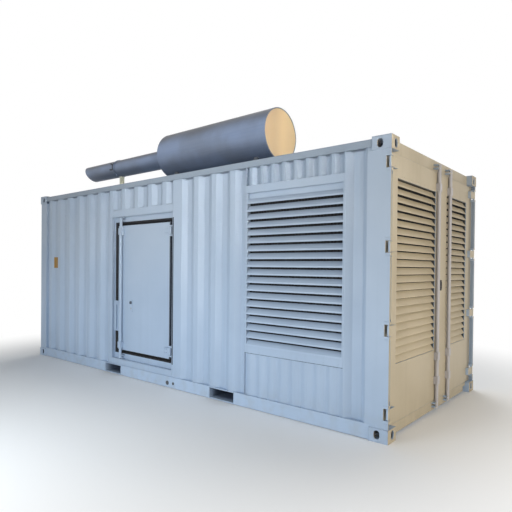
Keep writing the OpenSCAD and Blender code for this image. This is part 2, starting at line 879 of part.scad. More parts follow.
module silencer_caps() {
  r = sil_r - sil_t;
  color(steel) {
    rod_x_axis(silencer_x1 - cap_t, silencer_x1, silencer_y, sil_z, r);
    difference() {
      rod_x_axis(silencer_x0, silencer_x0 + cap_t, silencer_y, sil_z, r);
      rod_x_axis(silencer_x0 - 1, silencer_x0 + cap_t + 1, silencer_y, sil_z, tail_r);
    }
  }
}

module tail_pipe() {
  x1 = silencer_x0 + cap_t;
  color(steel) difference() {
    rod_x_axis(tail_seam_x, x1, silencer_y, sil_z, tail_r);
    rod_x_axis(tail_seam_x - 1, x1 + 1, silencer_y, sil_z, tail_r - pipe_t);
  }
}

module tail_clamp() {
  x0 = tail_seam_x - clamp_w / 2;
  x1 = tail_seam_x + clamp_w / 2;
  color(steel) difference() {
    rod_x_axis(x0, x1, silencer_y, sil_z, tail_r + clamp_t);
    rod_x_axis(x0 - 1, x1 + 1, silencer_y, sil_z, tail_r);
  }
}

module tail_end() {
  x0 = tail_tip_x;
  z0 = sil_z - tail_r - 10;
  z1 = sil_z + tail_r + 10;
  w = tail_r + 60;
  color(steel) difference() {
    rod_x_axis(x0, tail_seam_x, silencer_y, sil_z, tail_r);
    rod_x_axis(x0 - 1, tail_seam_x + 1, silencer_y, sil_z, tail_r - pipe_t);
    bar_y(silencer_y - w, silencer_y + w,
          [[x0 - 20, z1], [x0 - 10, z1], [x0 + slash - 10, z0], [x0 - 20, z0]]);
  }
}

module tail_post() {
  y = silencer_y;
  z0 = roof_top + base_t;
  r = tail_post_r;
  color(paint) {
    difference() {
      box(post_x - r, post_x + r, y - r, y + r, z0 - e, sil_z);
      rod_x_axis(post_x - r - 1, post_x + r + 1, y, sil_z, tail_r);
    }
    box(post_x - tail_base, post_x + tail_base, y - tail_base, y + tail_base, roof_top, z0);
  }
}

module silencer_saddles() {
  y = silencer_y;
  w = saddle_web;
  z0 = roof_top + base_t;
  color(paint_dark) for (x = saddle_xs) {
    box(x - saddle_half, x + saddle_half, y - w - 60, y + w + 60, roof_top, z0);
    difference() {
      box(x - 30, x + 30, y - w, y + w, z0 - e, sil_z - sil_r + saddle_wrap);
      rod_x_axis(x - 60, x + 60, y, sil_z, sil_r);
    }
  }
}

module exhaust_riser() {
  y = silencer_y;
  b = riser_base;
  z0 = roof_top + base_t;
  color(steel) {
    difference() {
      rod_z(riser_x, y, z0 - e, sil_z, riser_r);
      rod_x_axis(riser_x - riser_r - 1, riser_x + riser_r + 1, y, sil_z, sil_r + 0.05);
    }
    box(riser_x - b, riser_x + b, y - b, y + b, roof_top, z0);
  }
}

bottom_castings();
top_castings();
front_posts();
rear_posts();
bottom_side_rails();
top_side_rails();
front_rails();
rear_sill();
rear_header();
cross_members();
fork_pockets();
floor_plate();
roof_panel();
front_wall();
near_wall_front();
door_bay_panels();
near_wall_middle();
near_bay_panels();
rear_wall_strips();
far_wall();
far_bay_panels();
near_louvre_frame();
near_louvre_blades();
far_louvre_frame();
far_louvre_blades();
side_door_frame();
side_door_seal();
side_door_lugs();
side_door_keepers();
end_door_lugs();
end_door_keepers();
rail_fittings();
silencer_shell();
silencer_caps();
tail_pipe();
tail_clamp();
tail_end();
tail_post();
silencer_saddles();
exhaust_riser();
side_door_leaf();
side_door_hinges();
side_rod_guides();
side_door_lock();
side_lock_rod();
near_end_leaf();
near_end_blades();
near_end_hinges();
near_end_rod();
far_end_leaf();
far_end_blades();
far_end_hinges();
far_end_rod();
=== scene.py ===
"""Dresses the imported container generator: paint, rubber, exhaust steel, fasteners, light and camera."""

import math

import bpy
from mathutils import Matrix, Vector


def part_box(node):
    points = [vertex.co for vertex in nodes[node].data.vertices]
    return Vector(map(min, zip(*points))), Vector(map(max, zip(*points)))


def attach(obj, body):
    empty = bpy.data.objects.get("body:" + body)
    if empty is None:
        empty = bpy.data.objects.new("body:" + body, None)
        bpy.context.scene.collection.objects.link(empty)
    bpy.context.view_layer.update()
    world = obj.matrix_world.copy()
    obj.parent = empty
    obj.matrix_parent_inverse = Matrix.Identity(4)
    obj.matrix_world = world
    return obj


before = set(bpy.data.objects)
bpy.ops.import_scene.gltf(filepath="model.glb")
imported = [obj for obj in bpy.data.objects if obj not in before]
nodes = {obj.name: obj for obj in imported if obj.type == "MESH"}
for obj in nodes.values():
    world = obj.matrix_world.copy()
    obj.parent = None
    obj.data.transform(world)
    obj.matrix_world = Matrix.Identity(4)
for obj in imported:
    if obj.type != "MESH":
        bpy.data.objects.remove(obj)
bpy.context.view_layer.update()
scene = bpy.context.scene

# Paint and finish colours, written as sRGB values from 0 to 255
PAINT = (168, 187, 210)
PAINT_SHADE = (147, 165, 187)
# A paler copy of the paint for the louvre blades and the bottom rail, painted light
LIT_PALE_PAINT = (174, 193, 216)
LIT_PALE_SHADE = (154, 172, 194)
# Paint high up: bleached and painted darker as painted shade, darker still over the louvre bays
BLEACHED_SHADED_PAINT = (160, 171, 184)
BAY_TOP_SHADED_PAINT = (147, 158, 170)
# Top rail and top castings: darker paint, painted shade high up
SHADED_TOP_PAINT = (137, 148, 160)
SHADED_TOP_SHADE = (120, 131, 143)
ROD_PAINT = (178, 175, 177)
ROD_SHADE = (158, 156, 159)
POST_PAINT = (208, 206, 182)
POST_SHADE = (186, 184, 160)
BLADE_SHADOW = (56, 66, 88)
SLOT_SHADOW = (62, 70, 84)
EAVES_SHADOW = (82, 84, 94)
# Door end colours: painted warm light on the faces that look towards the door end
END_LIT_PAINT = (180, 168, 144)
END_LIT_SHADE = (154, 142, 119)
END_BLADE_LIT_PAINT = (194, 179, 150)
DUST = (150, 142, 126)
UNDERFRAME = (74, 78, 84)
UNDERFRAME_SHADE = (56, 60, 66)
EXHAUST = (119, 136, 166)
EXHAUST_HEAT = (95, 102, 114)
# Dark colour of the painted shade on the exhaust's top and underside
STEEL_SHADE = (54, 57, 64)
CAP = (222, 190, 143)
CAP_SHADE = (206, 174, 128)
CAP_HIGHLIGHT = (244, 214, 164)
ZINC = (168, 172, 176)
ZINC_SHADE = (128, 130, 132)
RUBBER = (16, 17, 22)
# Dark felt of the filter pads, also the colour of painted shade in the end doors' reveals
FILTER_AND_SHADE = (26, 26, 28)
FLOOR_WOOD = (104, 82, 60)
FLOOR_GRAIN = (70, 54, 40)
PATCH_PAINT = (142, 105, 26)
PATCH_SHADE = (126, 92, 24)
GASKET = (196, 188, 166)
SEALANT = (70, 78, 90)
RUST = (104, 72, 50)
STUDIO_WHITE = (250, 250, 250)

# Colours written as linear values: brush lines in steel, pure white and the studio lights
BRUSH_LINE = (0.62, 0.66, 0.72, 1.0)
WHITE = (1.0, 1.0, 1.0, 1.0)
SURROUNDINGS = (0.95, 0.98, 1.0, 1.0)
SKY_LIGHT = (0.88, 0.95, 1.0)
DAY_LIGHT = (1.0, 0.99, 0.97)
WARM_LIGHT = (1.0, 0.93, 0.82)
COOL_LIGHT = (0.97, 0.99, 1.0)

# Camera of the photograph, in metres, degrees and pixels of its 512 px frame
IMAGE_PX = 512
CAMERA_PLACE = Vector((4.702, -4.969, 1.469))
CAMERA_AZIMUTH = 40.1
CAMERA_DIP = 0.629
CAMERA_ROLL = 0.564
FOCAL_PX = 476.3
CENTRE_PX = (252.9, 272.7)
SENSOR_MM = 36.0
VIEW_LIMIT = 200.0

# Studio floor, in metres: half its side, and where the shadow starts and ends fading to white
FLOOR_HALF = 60.0
FLOOR_FADE = (3.0, 5.6)

# Directions: near and far side, door end and front end, up and down
NEAR = (0.0, -1.0, 0.0)
FAR = (0.0, 1.0, 0.0)
DOOR_END = (1.0, 0.0, 0.0)
FRONT_END = (-1.0, 0.0, 0.0)
UP = (0.0, 0.0, 1.0)
DOWN = (0.0, 0.0, -1.0)

# Corrugation of the near wall, in metres: face, start of a crest, pitch, crest, valley, depth and slope
WALL_FACE = -1.205
WALL_CREST = 0.352
WALL_PITCH = 0.2835
WALL_FLAT = 0.072
WALL_VALLEY = 0.070
WALL_DEPTH = 0.036
WALL_SLOPE = (WALL_PITCH - WALL_FLAT - WALL_VALLEY) / 2

# Plain patch on the near wall: its edges, its thickness and how many crests it lies from that crest
PATCH_X = (-2.648, -2.555)
PATCH_Z = (1.431, 1.602)
PATCH_THICKNESS = 0.0012
PATCH_CRESTS = 11

# Container frame: how far out its welds lie, the seams at the posts' ends, the fork pockets
FRAME_FACE = 1.2105
POST_SEAM_X = ((-3.012, -2.853), (2.853, 2.976))
POST_SEAM_Z = (0.118, 2.473)
POCKET_X = (-0.958, 1.1)
POCKET_HALF = 0.186
POCKET_SEAM_Z = (0.012, 0.13)

# Service door: face of its frame, its opening (x0, x1, z0, z1), lips round it, hinge bolts and key lock
DOOR_FRAME_FACE = -1.157
DOOR_OPENING = (-0.939, 0.225, 0.295, 2.057)
# Lip widths: the dark lip also stands in as painted shade of the door's gap
LIP_LEFT = 0.038
LIP_RIGHT = 0.016
LIP_BELOW = 0.008
LIP_ABOVE = 0.009
LIP_THICKNESS = 0.003
HINGE_BOLT_FACE = -1.1955
HINGE_BOLT_DX = (0.02, 0.05)
HINGE_BOLT_Z = (0.417, 0.461, 1.885, 1.929)
KEY_COVER_PLACE = (-0.602, -1.189, 0.987)
KEY_COVER_PROFILE = [(0.0185, -0.012), (0.0195, -0.001), (0.018, 0.002), (0.012, 0.0035), (0.004, 0.004)]
KEY_PLATE_PLACE = (-0.606, -1.175, 0.907)
KEY_PLATE_PROFILE = [(0.013, -0.002), (0.013, 0.002), (0.010, 0.004), (0.006, 0.004), (0.005, 0.002)]

# End doors: heights of the hinges, gasket clear of them, gasket profile (depth, reach), heights of the pull
END_HINGE_Z = [0.245, 0.950, 1.655, 2.365]
HINGE_CLEAR = 0.085
GASKET_END = 0.081
GASKET_SHORTEST = 0.2
GASKET_PROFILE = [(0.002, 0.0), (0.004, 0.004), (0.012, 0.005), (0.03, 0.003), (0.03, 0.0)]
PULL_Z = (1.246, 1.356)

# Rivets: how far apart they lie on the side louvres, the service door frame and the end louvres
LOUVRE_RIVETS = 0.15
DOOR_RIVETS = 0.24
END_RIVETS = 0.16

# Filter pads: width of a fold and depth of the board
PAD_FOLD = 0.018
PAD_DEPTH = 0.02

# Exhaust: foot plates, washers, how far bolts lie from a foot's middle, welds, the clamp's lugs as (y, z)
FOOT_PLATE = 0.012
FOOT_WASHER = 0.0025
SADDLE_INSET = 0.11
SADDLE_BOLTS = (0.075, 0.2)
FOOT_BOLTS = {"tail_post": 0.1, "exhaust_riser": 0.118}
WELD_INSET = 0.008
RISER_WELD = 0.107
CLAMP_LUGS = ((-0.612, 3.092), (-0.629, 2.996))
STRAP_FACE = -0.648
CLAMP_BOLT_PROFILE = [(0.011, -0.004), (0.011, 0.008), (0.008, 0.011)]


def linear(rgb):
    """sRGB 0 to 255 as scene linear RGBA."""
    out = []
    for value in rgb:
        share = value / 255.0
        out.append(share / 12.92 if share <= 0.04045 else ((share + 0.055) / 1.055) ** 2.4)
    return (*out, 1.0)


# Node helpers, for shaders and for geometry


def put(tree, kind, settings=None, **inputs):
    """Adds a node, sets its properties, and fills or links its inputs by name."""
    node = tree.nodes.new(kind)
    for key, value in (settings or {}).items():
        setattr(node, key, value)
    for name, value in inputs.items():
        wire(tree, node, name.replace("_", " "), value)
    return node


def wire(tree, node, name, value):
    """Gives one input of a node a value, or links it to an output socket."""
    socket = node.inputs[name]
    if isinstance(value, bpy.types.NodeSocket):
        tree.links.new(value, socket)
    else:
        socket.default_value = value


def maths(tree, operation, a, b=0.0, clamp=False):
    """A maths node of two values or sockets, as its output socket."""
    node = tree.nodes.new("ShaderNodeMath")
    node.operation = operation
    node.use_clamp = clamp
    wire(tree, node, 0, a)
    wire(tree, node, 1, b)
    return node.outputs[0]


def mix_colour(tree, factor, a, b):
    """A colour mix of two colours or sockets, as its output socket."""
    node = tree.nodes.new("ShaderNodeMix")
    node.data_type = "RGBA"
    wire(tree, node, 0, factor)
    wire(tree, node, 6, a)
    wire(tree, node, 7, b)
    return node.outputs[2]


def ramp(tree, value, low, high):
    """A smooth step of a value between two limits, from 0 to 1."""
    node = tree.nodes.new("ShaderNodeMapRange")
    node.interpolation_type = "SMOOTHSTEP"
    wire(tree, node, "Value", value)
    wire(tree, node, "From Min", low)
    wire(tree, node, "From Max", high)
    return node.outputs[0]


def noise(tree, place, scale, detail, stretch=None):
    """A noise texture on a place, stretched along its axes if asked, as its value socket."""
    if stretch:
        mapping = put(tree, "ShaderNodeMapping", Vector=place, Scale=stretch)
        place = mapping.outputs[0]
    return put(tree, "ShaderNodeTexNoise", Vector=place, Scale=scale, Detail=detail).outputs[0]


def new_group(name, inputs, outputs):
    """A shader node group with named inputs (name, type, default) and outputs (name, type)."""
    tree = bpy.data.node_groups.new(name, "ShaderNodeTree")
    for label, kind, default in inputs:
        socket = tree.interface.new_socket(label, in_out="INPUT", socket_type=kind)
        socket.default_value = default
    for label, kind in outputs:
        tree.interface.new_socket(label, in_out="OUTPUT", socket_type=kind)
    return tree, tree.nodes.new("NodeGroupInput"), tree.nodes.new("NodeGroupOutput")


FLOAT = "NodeSocketFloat"
COLOUR = "NodeSocketColor"
VECTOR = "NodeSocketVector"
MATERIAL = "NodeSocketMaterial"


# Shared effects


def make_edge_group():
    """Rounds sharp edges in the shading and finds them for wear."""
    tree, source, sink = new_group(
        "rounded_edges",
        [("Radius", FLOAT, 0.004)],
        [("Normal", VECTOR), ("Edge", FLOAT)],
    )
    bevel = put(tree, "ShaderNodeBevel", {"samples": 6}, Radius=source.outputs["Radius"])
    plain = put(tree, "ShaderNodeNewGeometry")
    dot = put(tree, "ShaderNodeVectorMath", {"operation": "DOT_PRODUCT"})
    tree.links.new(bevel.outputs[0], dot.inputs[0])
    tree.links.new(plain.outputs["Normal"], dot.inputs[1])
    edge = ramp(tree, maths(tree, "SUBTRACT", 1.0, dot.outputs["Value"]), 0.02, 0.22)
    tree.links.new(bevel.outputs[0], sink.inputs["Normal"])
    tree.links.new(edge, sink.inputs["Edge"])
    return tree


def make_weather_group():
    """Paint: bleached and painted darker high up as painted shade, chalked, rain streaked, dusty low down,
    with painted warm light at the door end, chipped.
    """
    tree, source, sink = new_group(
        "weathered_paint",
        [
            ("Paint", COLOUR, linear(PAINT)),
            ("Shade", COLOUR, linear(PAINT_SHADE)),
            ("Bleached Paint", COLOUR, linear(BLEACHED_SHADED_PAINT)),
            ("End Paint", COLOUR, linear(END_LIT_PAINT)),
            ("End Shade", COLOUR, linear(END_LIT_SHADE)),
            ("Dust", COLOUR, linear(DUST)),
            ("Chip", COLOUR, linear(RUST)),
            ("Edge", FLOAT, 0.0),
            ("End Tone", FLOAT, 1.0),
            ("Bleach", FLOAT, 0.85),
            ("Streaks", FLOAT, 0.25),
            ("Dust Height", FLOAT, 0.35),
            ("Chips", FLOAT, 0.25),
            ("Gloss", FLOAT, 0.42),
        ],
        [("Colour", COLOUR), ("Roughness", FLOAT), ("Height", FLOAT)],
    )
    coords = put(tree, "ShaderNodeTexCoord")
    place = coords.outputs["Object"]
    get = source.outputs
    split = put(tree, "ShaderNodeSeparateXYZ", Vector=place)
    facing = put(tree, "ShaderNodeSeparateXYZ", Vector=coords.outputs["Normal"])
    # Painted warm light: faces at the door end that look towards it take the lit end colours
    door_end = ramp(tree, split.outputs["X"], 2.80, 2.84)
    towards_end = ramp(tree, facing.outputs["X"], 0.35, 0.75)
    end_light = maths(tree, "MULTIPLY", maths(tree, "MULTIPLY", door_end, towards_end), get["End Tone"])
    # Bleached and painted shade: the paint turns greyer and darker towards the top
    bleach_and_shade = maths(tree, "MULTIPLY", ramp(tree, split.outputs["Z"], 0.3, 2.3), get["Bleach"])
    paint = mix_colour(tree, bleach_and_shade, get["Paint"], get["Bleached Paint"])
    paint = mix_colour(tree, end_light, paint, get["End Paint"])
    shade = mix_colour(tree, end_light, get["Shade"], get["End Shade"])
    patches = ramp(tree, noise(tree, place, 1.4, 5.0), 0.35, 0.7)
    streaks = ramp(tree, noise(tree, place, 1.0, 6.0, (14.0, 14.0, 0.35)), 0.5, 0.78)
    streaks = maths(tree, "MULTIPLY", streaks, get["Streaks"])
    colour = mix_colour(tree, maths(tree, "MULTIPLY", patches, 0.3), paint, shade)
    colour = mix_colour(tree, streaks, colour, shade)
    height = maths(tree, "DIVIDE", split.outputs["Z"], get["Dust Height"])
    low = maths(tree, "SUBTRACT", 1.0, ramp(tree, height, 0.0, 1.0))
    speck = ramp(tree, noise(tree, place, 9.0, 8.0), 0.38, 0.72)
    dust = maths(tree, "MULTIPLY", maths(tree, "MULTIPLY", low, speck), 0.2)
    colour = mix_colour(tree, dust, colour, get["Dust"])
    worn = ramp(tree, noise(tree, place, 26.0, 7.0), 0.56, 0.66)
    chips = maths(tree, "MULTIPLY", maths(tree, "MULTIPLY", get["Edge"], worn), get["Chips"])
    colour = mix_colour(tree, chips, colour, get["Chip"])
    rough = maths(tree, "ADD", get["Gloss"], maths(tree, "MULTIPLY", patches, 0.1))
    rough = maths(tree, "ADD", rough, maths(tree, "MULTIPLY", dust, 0.4), clamp=True)
    peel = noise(tree, place, 160.0, 2.0)
    dents = noise(tree, place, 5.0, 2.0)
    relief = maths(tree, "ADD", maths(tree, "MULTIPLY", peel, 0.0004), maths(tree, "MULTIPLY", dents, 0.003))
    relief = maths(tree, "SUBTRACT", relief, maths(tree, "MULTIPLY", chips, 0.0006))
    tree.links.new(colour, sink.inputs["Colour"])
    tree.links.new(rough, sink.inputs["Roughness"])
    tree.links.new(relief, sink.inputs["Height"])
    return tree


def make_recess_group():
    """Painted shade behind the faces of both sides: past a start and a depth along up to three directions."""
    tree, source, sink = new_group(
        "recess_shade",
        [
            ("Colour", COLOUR, linear(PAINT)),
            ("Shadow", COLOUR, linear(FILTER_AND_SHADE)),
            ("Inwards", VECTOR, FRONT_END),
            ("Start", FLOAT, 0.0),
            ("Also Inwards", VECTOR, (0.0, 0.0, 0.0)),
            ("Also Start", FLOAT, -1.0),
            ("Stop Outwards", VECTOR, (0.0, 0.0, 0.0)),
            ("Stop", FLOAT, -1.0),
            ("Depth", FLOAT, 0.004),
            ("Amount", FLOAT, 0.9),
            ("Upright Only", FLOAT, 0.0),
        ],
        [("Colour", COLOUR)],
    )
    coords = put(tree, "ShaderNodeTexCoord")
    get = source.outputs
    both_sides = put(tree, "ShaderNodeVectorMath", {"operation": "ABSOLUTE"})
    tree.links.new(coords.outputs["Object"], both_sides.inputs[0])
    mask = get["Amount"]
    for inwards, start in (("Inwards", "Start"), ("Also Inwards", "Also Start"), ("Stop Outwards", "Stop")):
        dot = put(tree, "ShaderNodeVectorMath", {"operation": "DOT_PRODUCT"})
        tree.links.new(both_sides.outputs[0], dot.inputs[0])
        tree.links.new(get[inwards], dot.inputs[1])
        deep = maths(tree, "DIVIDE", maths(tree, "SUBTRACT", dot.outputs["Value"], get[start]), get["Depth"])
        mask = maths(tree, "MULTIPLY", mask, ramp(tree, deep, 0.0, 1.0))
    facing = put(tree, "ShaderNodeSeparateXYZ", Vector=coords.outputs["Normal"])
    level = ramp(tree, maths(tree, "ABSOLUTE", facing.outputs["Z"]), 0.6, 0.9)
    level = maths(tree, "MULTIPLY", level, get["Upright Only"])
    mask = maths(tree, "MULTIPLY", mask, maths(tree, "SUBTRACT", 1.0, level))
    tree.links.new(mix_colour(tree, mask, get["Colour"], get["Shadow"]), sink.inputs["Colour"])
    return tree


def make_steel_group():
    """Drawn sheet steel: brushed one way, heat tinted, painted shade on faces looking up and down, and a
    painted highlight (sheen) across one side.
    """
    tree, source, sink = new_group(
        "rolled_steel",
        [
            ("Steel", COLOUR, linear(EXHAUST)),
            ("Tint", COLOUR, linear(EXHAUST_HEAT)),
            ("Brush Along", VECTOR, (0.6, 18.0, 18.0)),
            ("Stain", FLOAT, 0.5),
            ("Lines", FLOAT, 0.14),
            ("Soot", FLOAT, 0.0),
            ("Dull", FLOAT, 0.0),
            ("Sheen", FLOAT, 0.0),
            ("Sheen Colour", COLOUR, linear(CAP_HIGHLIGHT)),
            ("Sheen Start", FLOAT, 0.0),
            ("Sheen Width", FLOAT, 0.1),
            ("Gloss", FLOAT, 0.34),
        ],
        [("Colour", COLOUR), ("Roughness", FLOAT), ("Height", FLOAT)],
    )
    coords = put(tree, "ShaderNodeTexCoord")
    place = coords.outputs["Object"]
    get = source.outputs
    facing = put(tree, "ShaderNodeSeparateXYZ", Vector=coords.outputs["Normal"])
    lines_place = put(tree, "ShaderNodeMapping", Vector=place)
    tree.links.new(get["Brush Along"], lines_place.inputs["Scale"])
    lines = noise(tree, lines_place.outputs[0], 3.0, 6.0)
    clouds = ramp(tree, noise(tree, place, 2.2, 6.0), 0.4, 0.7)
    stain = maths(tree, "MULTIPLY", clouds, get["Stain"])
    colour = mix_colour(tree, stain, get["Steel"], get["Tint"])
    light = maths(tree, "MULTIPLY", lines, get["Lines"])
    bright = mix_colour(tree, light, colour, BRUSH_LINE)
    across = put(tree, "ShaderNodeSeparateXYZ", Vector=place).outputs["Y"]
    # Painted highlight: a brighter colour across one side, along object Y
    sheen_end = maths(tree, "ADD", get["Sheen Start"], get["Sheen Width"])
    sheen = maths(tree, "MULTIPLY", ramp(tree, across, get["Sheen Start"], sheen_end), get["Sheen"])
    bright = mix_colour(tree, sheen, bright, get["Sheen Colour"])
    uneven = maths(tree, "MULTIPLY", noise(tree, place, 3.0, 5.0), 0.3)
    # Painted shade on faces that look down
    downwards = ramp(tree, maths(tree, "SUBTRACT", uneven, facing.outputs["Z"]), 0.05, 0.75)
    bright = mix_colour(tree, maths(tree, "MULTIPLY", downwards, get["Dull"]), bright, linear(STEEL_SHADE))
    # Painted shade on faces that look up
    upwards = ramp(tree, maths(tree, "ADD", facing.outputs["Z"], uneven), 0.34, 0.98)
    bright = mix_colour(tree, maths(tree, "MULTIPLY", upwards, get["Soot"]), bright, linear(STEEL_SHADE))
    rough = maths(tree, "ADD", get["Gloss"], maths(tree, "MULTIPLY", lines, 0.16))
    tree.links.new(bright, sink.inputs["Colour"])
    tree.links.new(rough, sink.inputs["Roughness"])
    tree.links.new(maths(tree, "MULTIPLY", lines, 0.0006), sink.inputs["Height"])
    return tree


EDGES = make_edge_group()
WEATHER = make_weather_group()
RECESS = make_recess_group()
ROLLED = make_steel_group()


# Materials


def new_material(name):
    """A material with only its output and a principled shader."""
    material = bpy.data.materials.new(name)
    material.use_nodes = True
    tree = material.node_tree
    tree.nodes.clear()
    shader = put(tree, "ShaderNodeBsdfPrincipled")
    out = put(tree, "ShaderNodeOutputMaterial")
    tree.links.new(shader.outputs[0], out.inputs["Surface"])
    return material, tree, shader


def use_group(tree, group, **values):
    """Places a shared effect in a material with this material's own values."""
    return put(tree, "ShaderNodeGroup", {"node_tree": group}, **values)


def finish_surface(tree, shader, effect, edges):
    """Links a shared effect's colour, roughness and relief to the shader, over rounded edges."""
    tree.links.new(effect.outputs["Colour"], shader.inputs["Base Color"])
    tree.links.new(effect.outputs["Roughness"], shader.inputs["Roughness"])
    relief = put(tree, "ShaderNodeBump", Strength=1.0, Distance=1.0)
    tree.links.new(effect.outputs["Height"], relief.inputs["Height"])
    tree.links.new(edges.outputs["Normal"], relief.inputs["Normal"])
    tree.links.new(relief.outputs[0], shader.inputs["Normal"])


def painted(name, radius=0.004, recess=None, **values):
    """A painted steel finish with its own amount of wear, with painted shade behind a face where a recess is
    given.
    """
    material, tree, shader = new_material(name)
    edges = use_group(tree, EDGES, Radius=radius)
    effect = use_group(tree, WEATHER, Edge=edges.outputs["Edge"], **values)
    finish_surface(tree, shader, effect, edges)
    if recess:
        shaded = use_group(tree, RECESS, Colour=effect.outputs["Colour"], **recess)
        tree.links.new(shaded.outputs["Colour"], shader.inputs["Base Color"])
    return material


def rolled(name, metallic, radius=0.004, **values):
    """A bare or heat painted steel finish brushed along one direction."""
    material, tree, shader = new_material(name)
    edges = use_group(tree, EDGES, Radius=radius)
    effect = use_group(tree, ROLLED, **values)
    shader.inputs["Metallic"].default_value = metallic
    finish_surface(tree, shader, effect, edges)
    return material


def rubber(name, base, grain_scale):
    """Matt rubber, sealant or filter felt with a fine grain and a little dust."""
    material, tree, shader = new_material(name)
    place = put(tree, "ShaderNodeTexCoord").outputs["Object"]
    grain = noise(tree, place, grain_scale, 3.0)
    dust = ramp(tree, noise(tree, place, 7.0, 5.0), 0.5, 0.8)
    colour = mix_colour(tree, maths(tree, "MULTIPLY", dust, 0.06), linear(base), linear(DUST))
    tree.links.new(colour, shader.inputs["Base Color"])
    shader.inputs["Roughness"].default_value = 0.78
    relief = put(tree, "ShaderNodeBump", Strength=0.4, Distance=0.001, Height=grain)
    tree.links.new(relief.outputs[0], shader.inputs["Normal"])
    return material


def plank_floor(name):
    """Sealed floor plywood with grain along the container."""
    material, tree, shader = new_material(name)
    place = put(tree, "ShaderNodeTexCoord").outputs["Object"]
    grain = noise(tree, place, 2.0, 8.0, (1.2, 30.0, 30.0))
    colour = mix_colour(tree, grain, linear(FLOOR_WOOD), linear(FLOOR_GRAIN))
    tree.links.new(colour, shader.inputs["Base Color"])
    shader.inputs["Roughness"].default_value = 0.6
    relief = put(tree, "ShaderNodeBump", Strength=0.3, Distance=0.002, Height=grain)
    tree.links.new(relief.outputs[0], shader.inputs["Normal"])
    return material


def behind(face, depth, amount, shadow=FILTER_AND_SHADE, ends=False, **more):
    """Painted shade in a recess that starts behind a face of the long sides, or of the ends, this far from
    the middle.
    """
    inwards = FRONT_END if ends else NEAR
    return dict(Inwards=inwards, Start=-face, Depth=depth, Amount=amount, Shadow=linear(shadow), **more)


def slots(side_face, end_face, inner_face, amount):
    """Painted shade inside the cut-outs of a corner: between its side, end and inner faces, on upright walls.
    """
    return behind(
        side_face, 0.006, amount, SLOT_SHADOW, Also_Inwards=FRONT_END, Also_Start=-end_face,
        Stop_Outwards=FAR, Stop=inner_face, Upright_Only=1.0,
    )


# Recesses with painted shade: under the eaves, on the blades, in slots, reveals and pockets; their faces in
# metres from the middle or the floor
CASTING_SLOTS = slots(side_face=1.212, end_face=3.022, inner_face=1.064, amount=0.85)
POST_SLOTS = slots(side_face=1.206, end_face=3.016, inner_face=1.112, amount=0.32)
UNDER_EAVES = behind(
    face=1.190, depth=0.014, amount=0.6, shadow=EAVES_SHADOW, Also_Inwards=UP, Also_Start=2.486
)
UNDER_BLADES = behind(
    face=1.194, depth=0.024, amount=0.24, shadow=BLADE_SHADOW, Also_Inwards=DOWN, Also_Start=-2.200
)
# Painted shade in the end doors' reveals and inside the fork pockets
IN_END_LEAF = behind(face=2.980, depth=0.006, amount=0.9, ends=True)
IN_POCKET = behind(face=1.200, depth=0.12, amount=0.85, shadow=BLADE_SHADOW)
# Service door leaf: rubber-dark edges behind its face, also painted shade of the door's gap
BEHIND_SIDE_LEAF = behind(face=1.167, depth=0.002, amount=0.9, shadow=RUBBER)

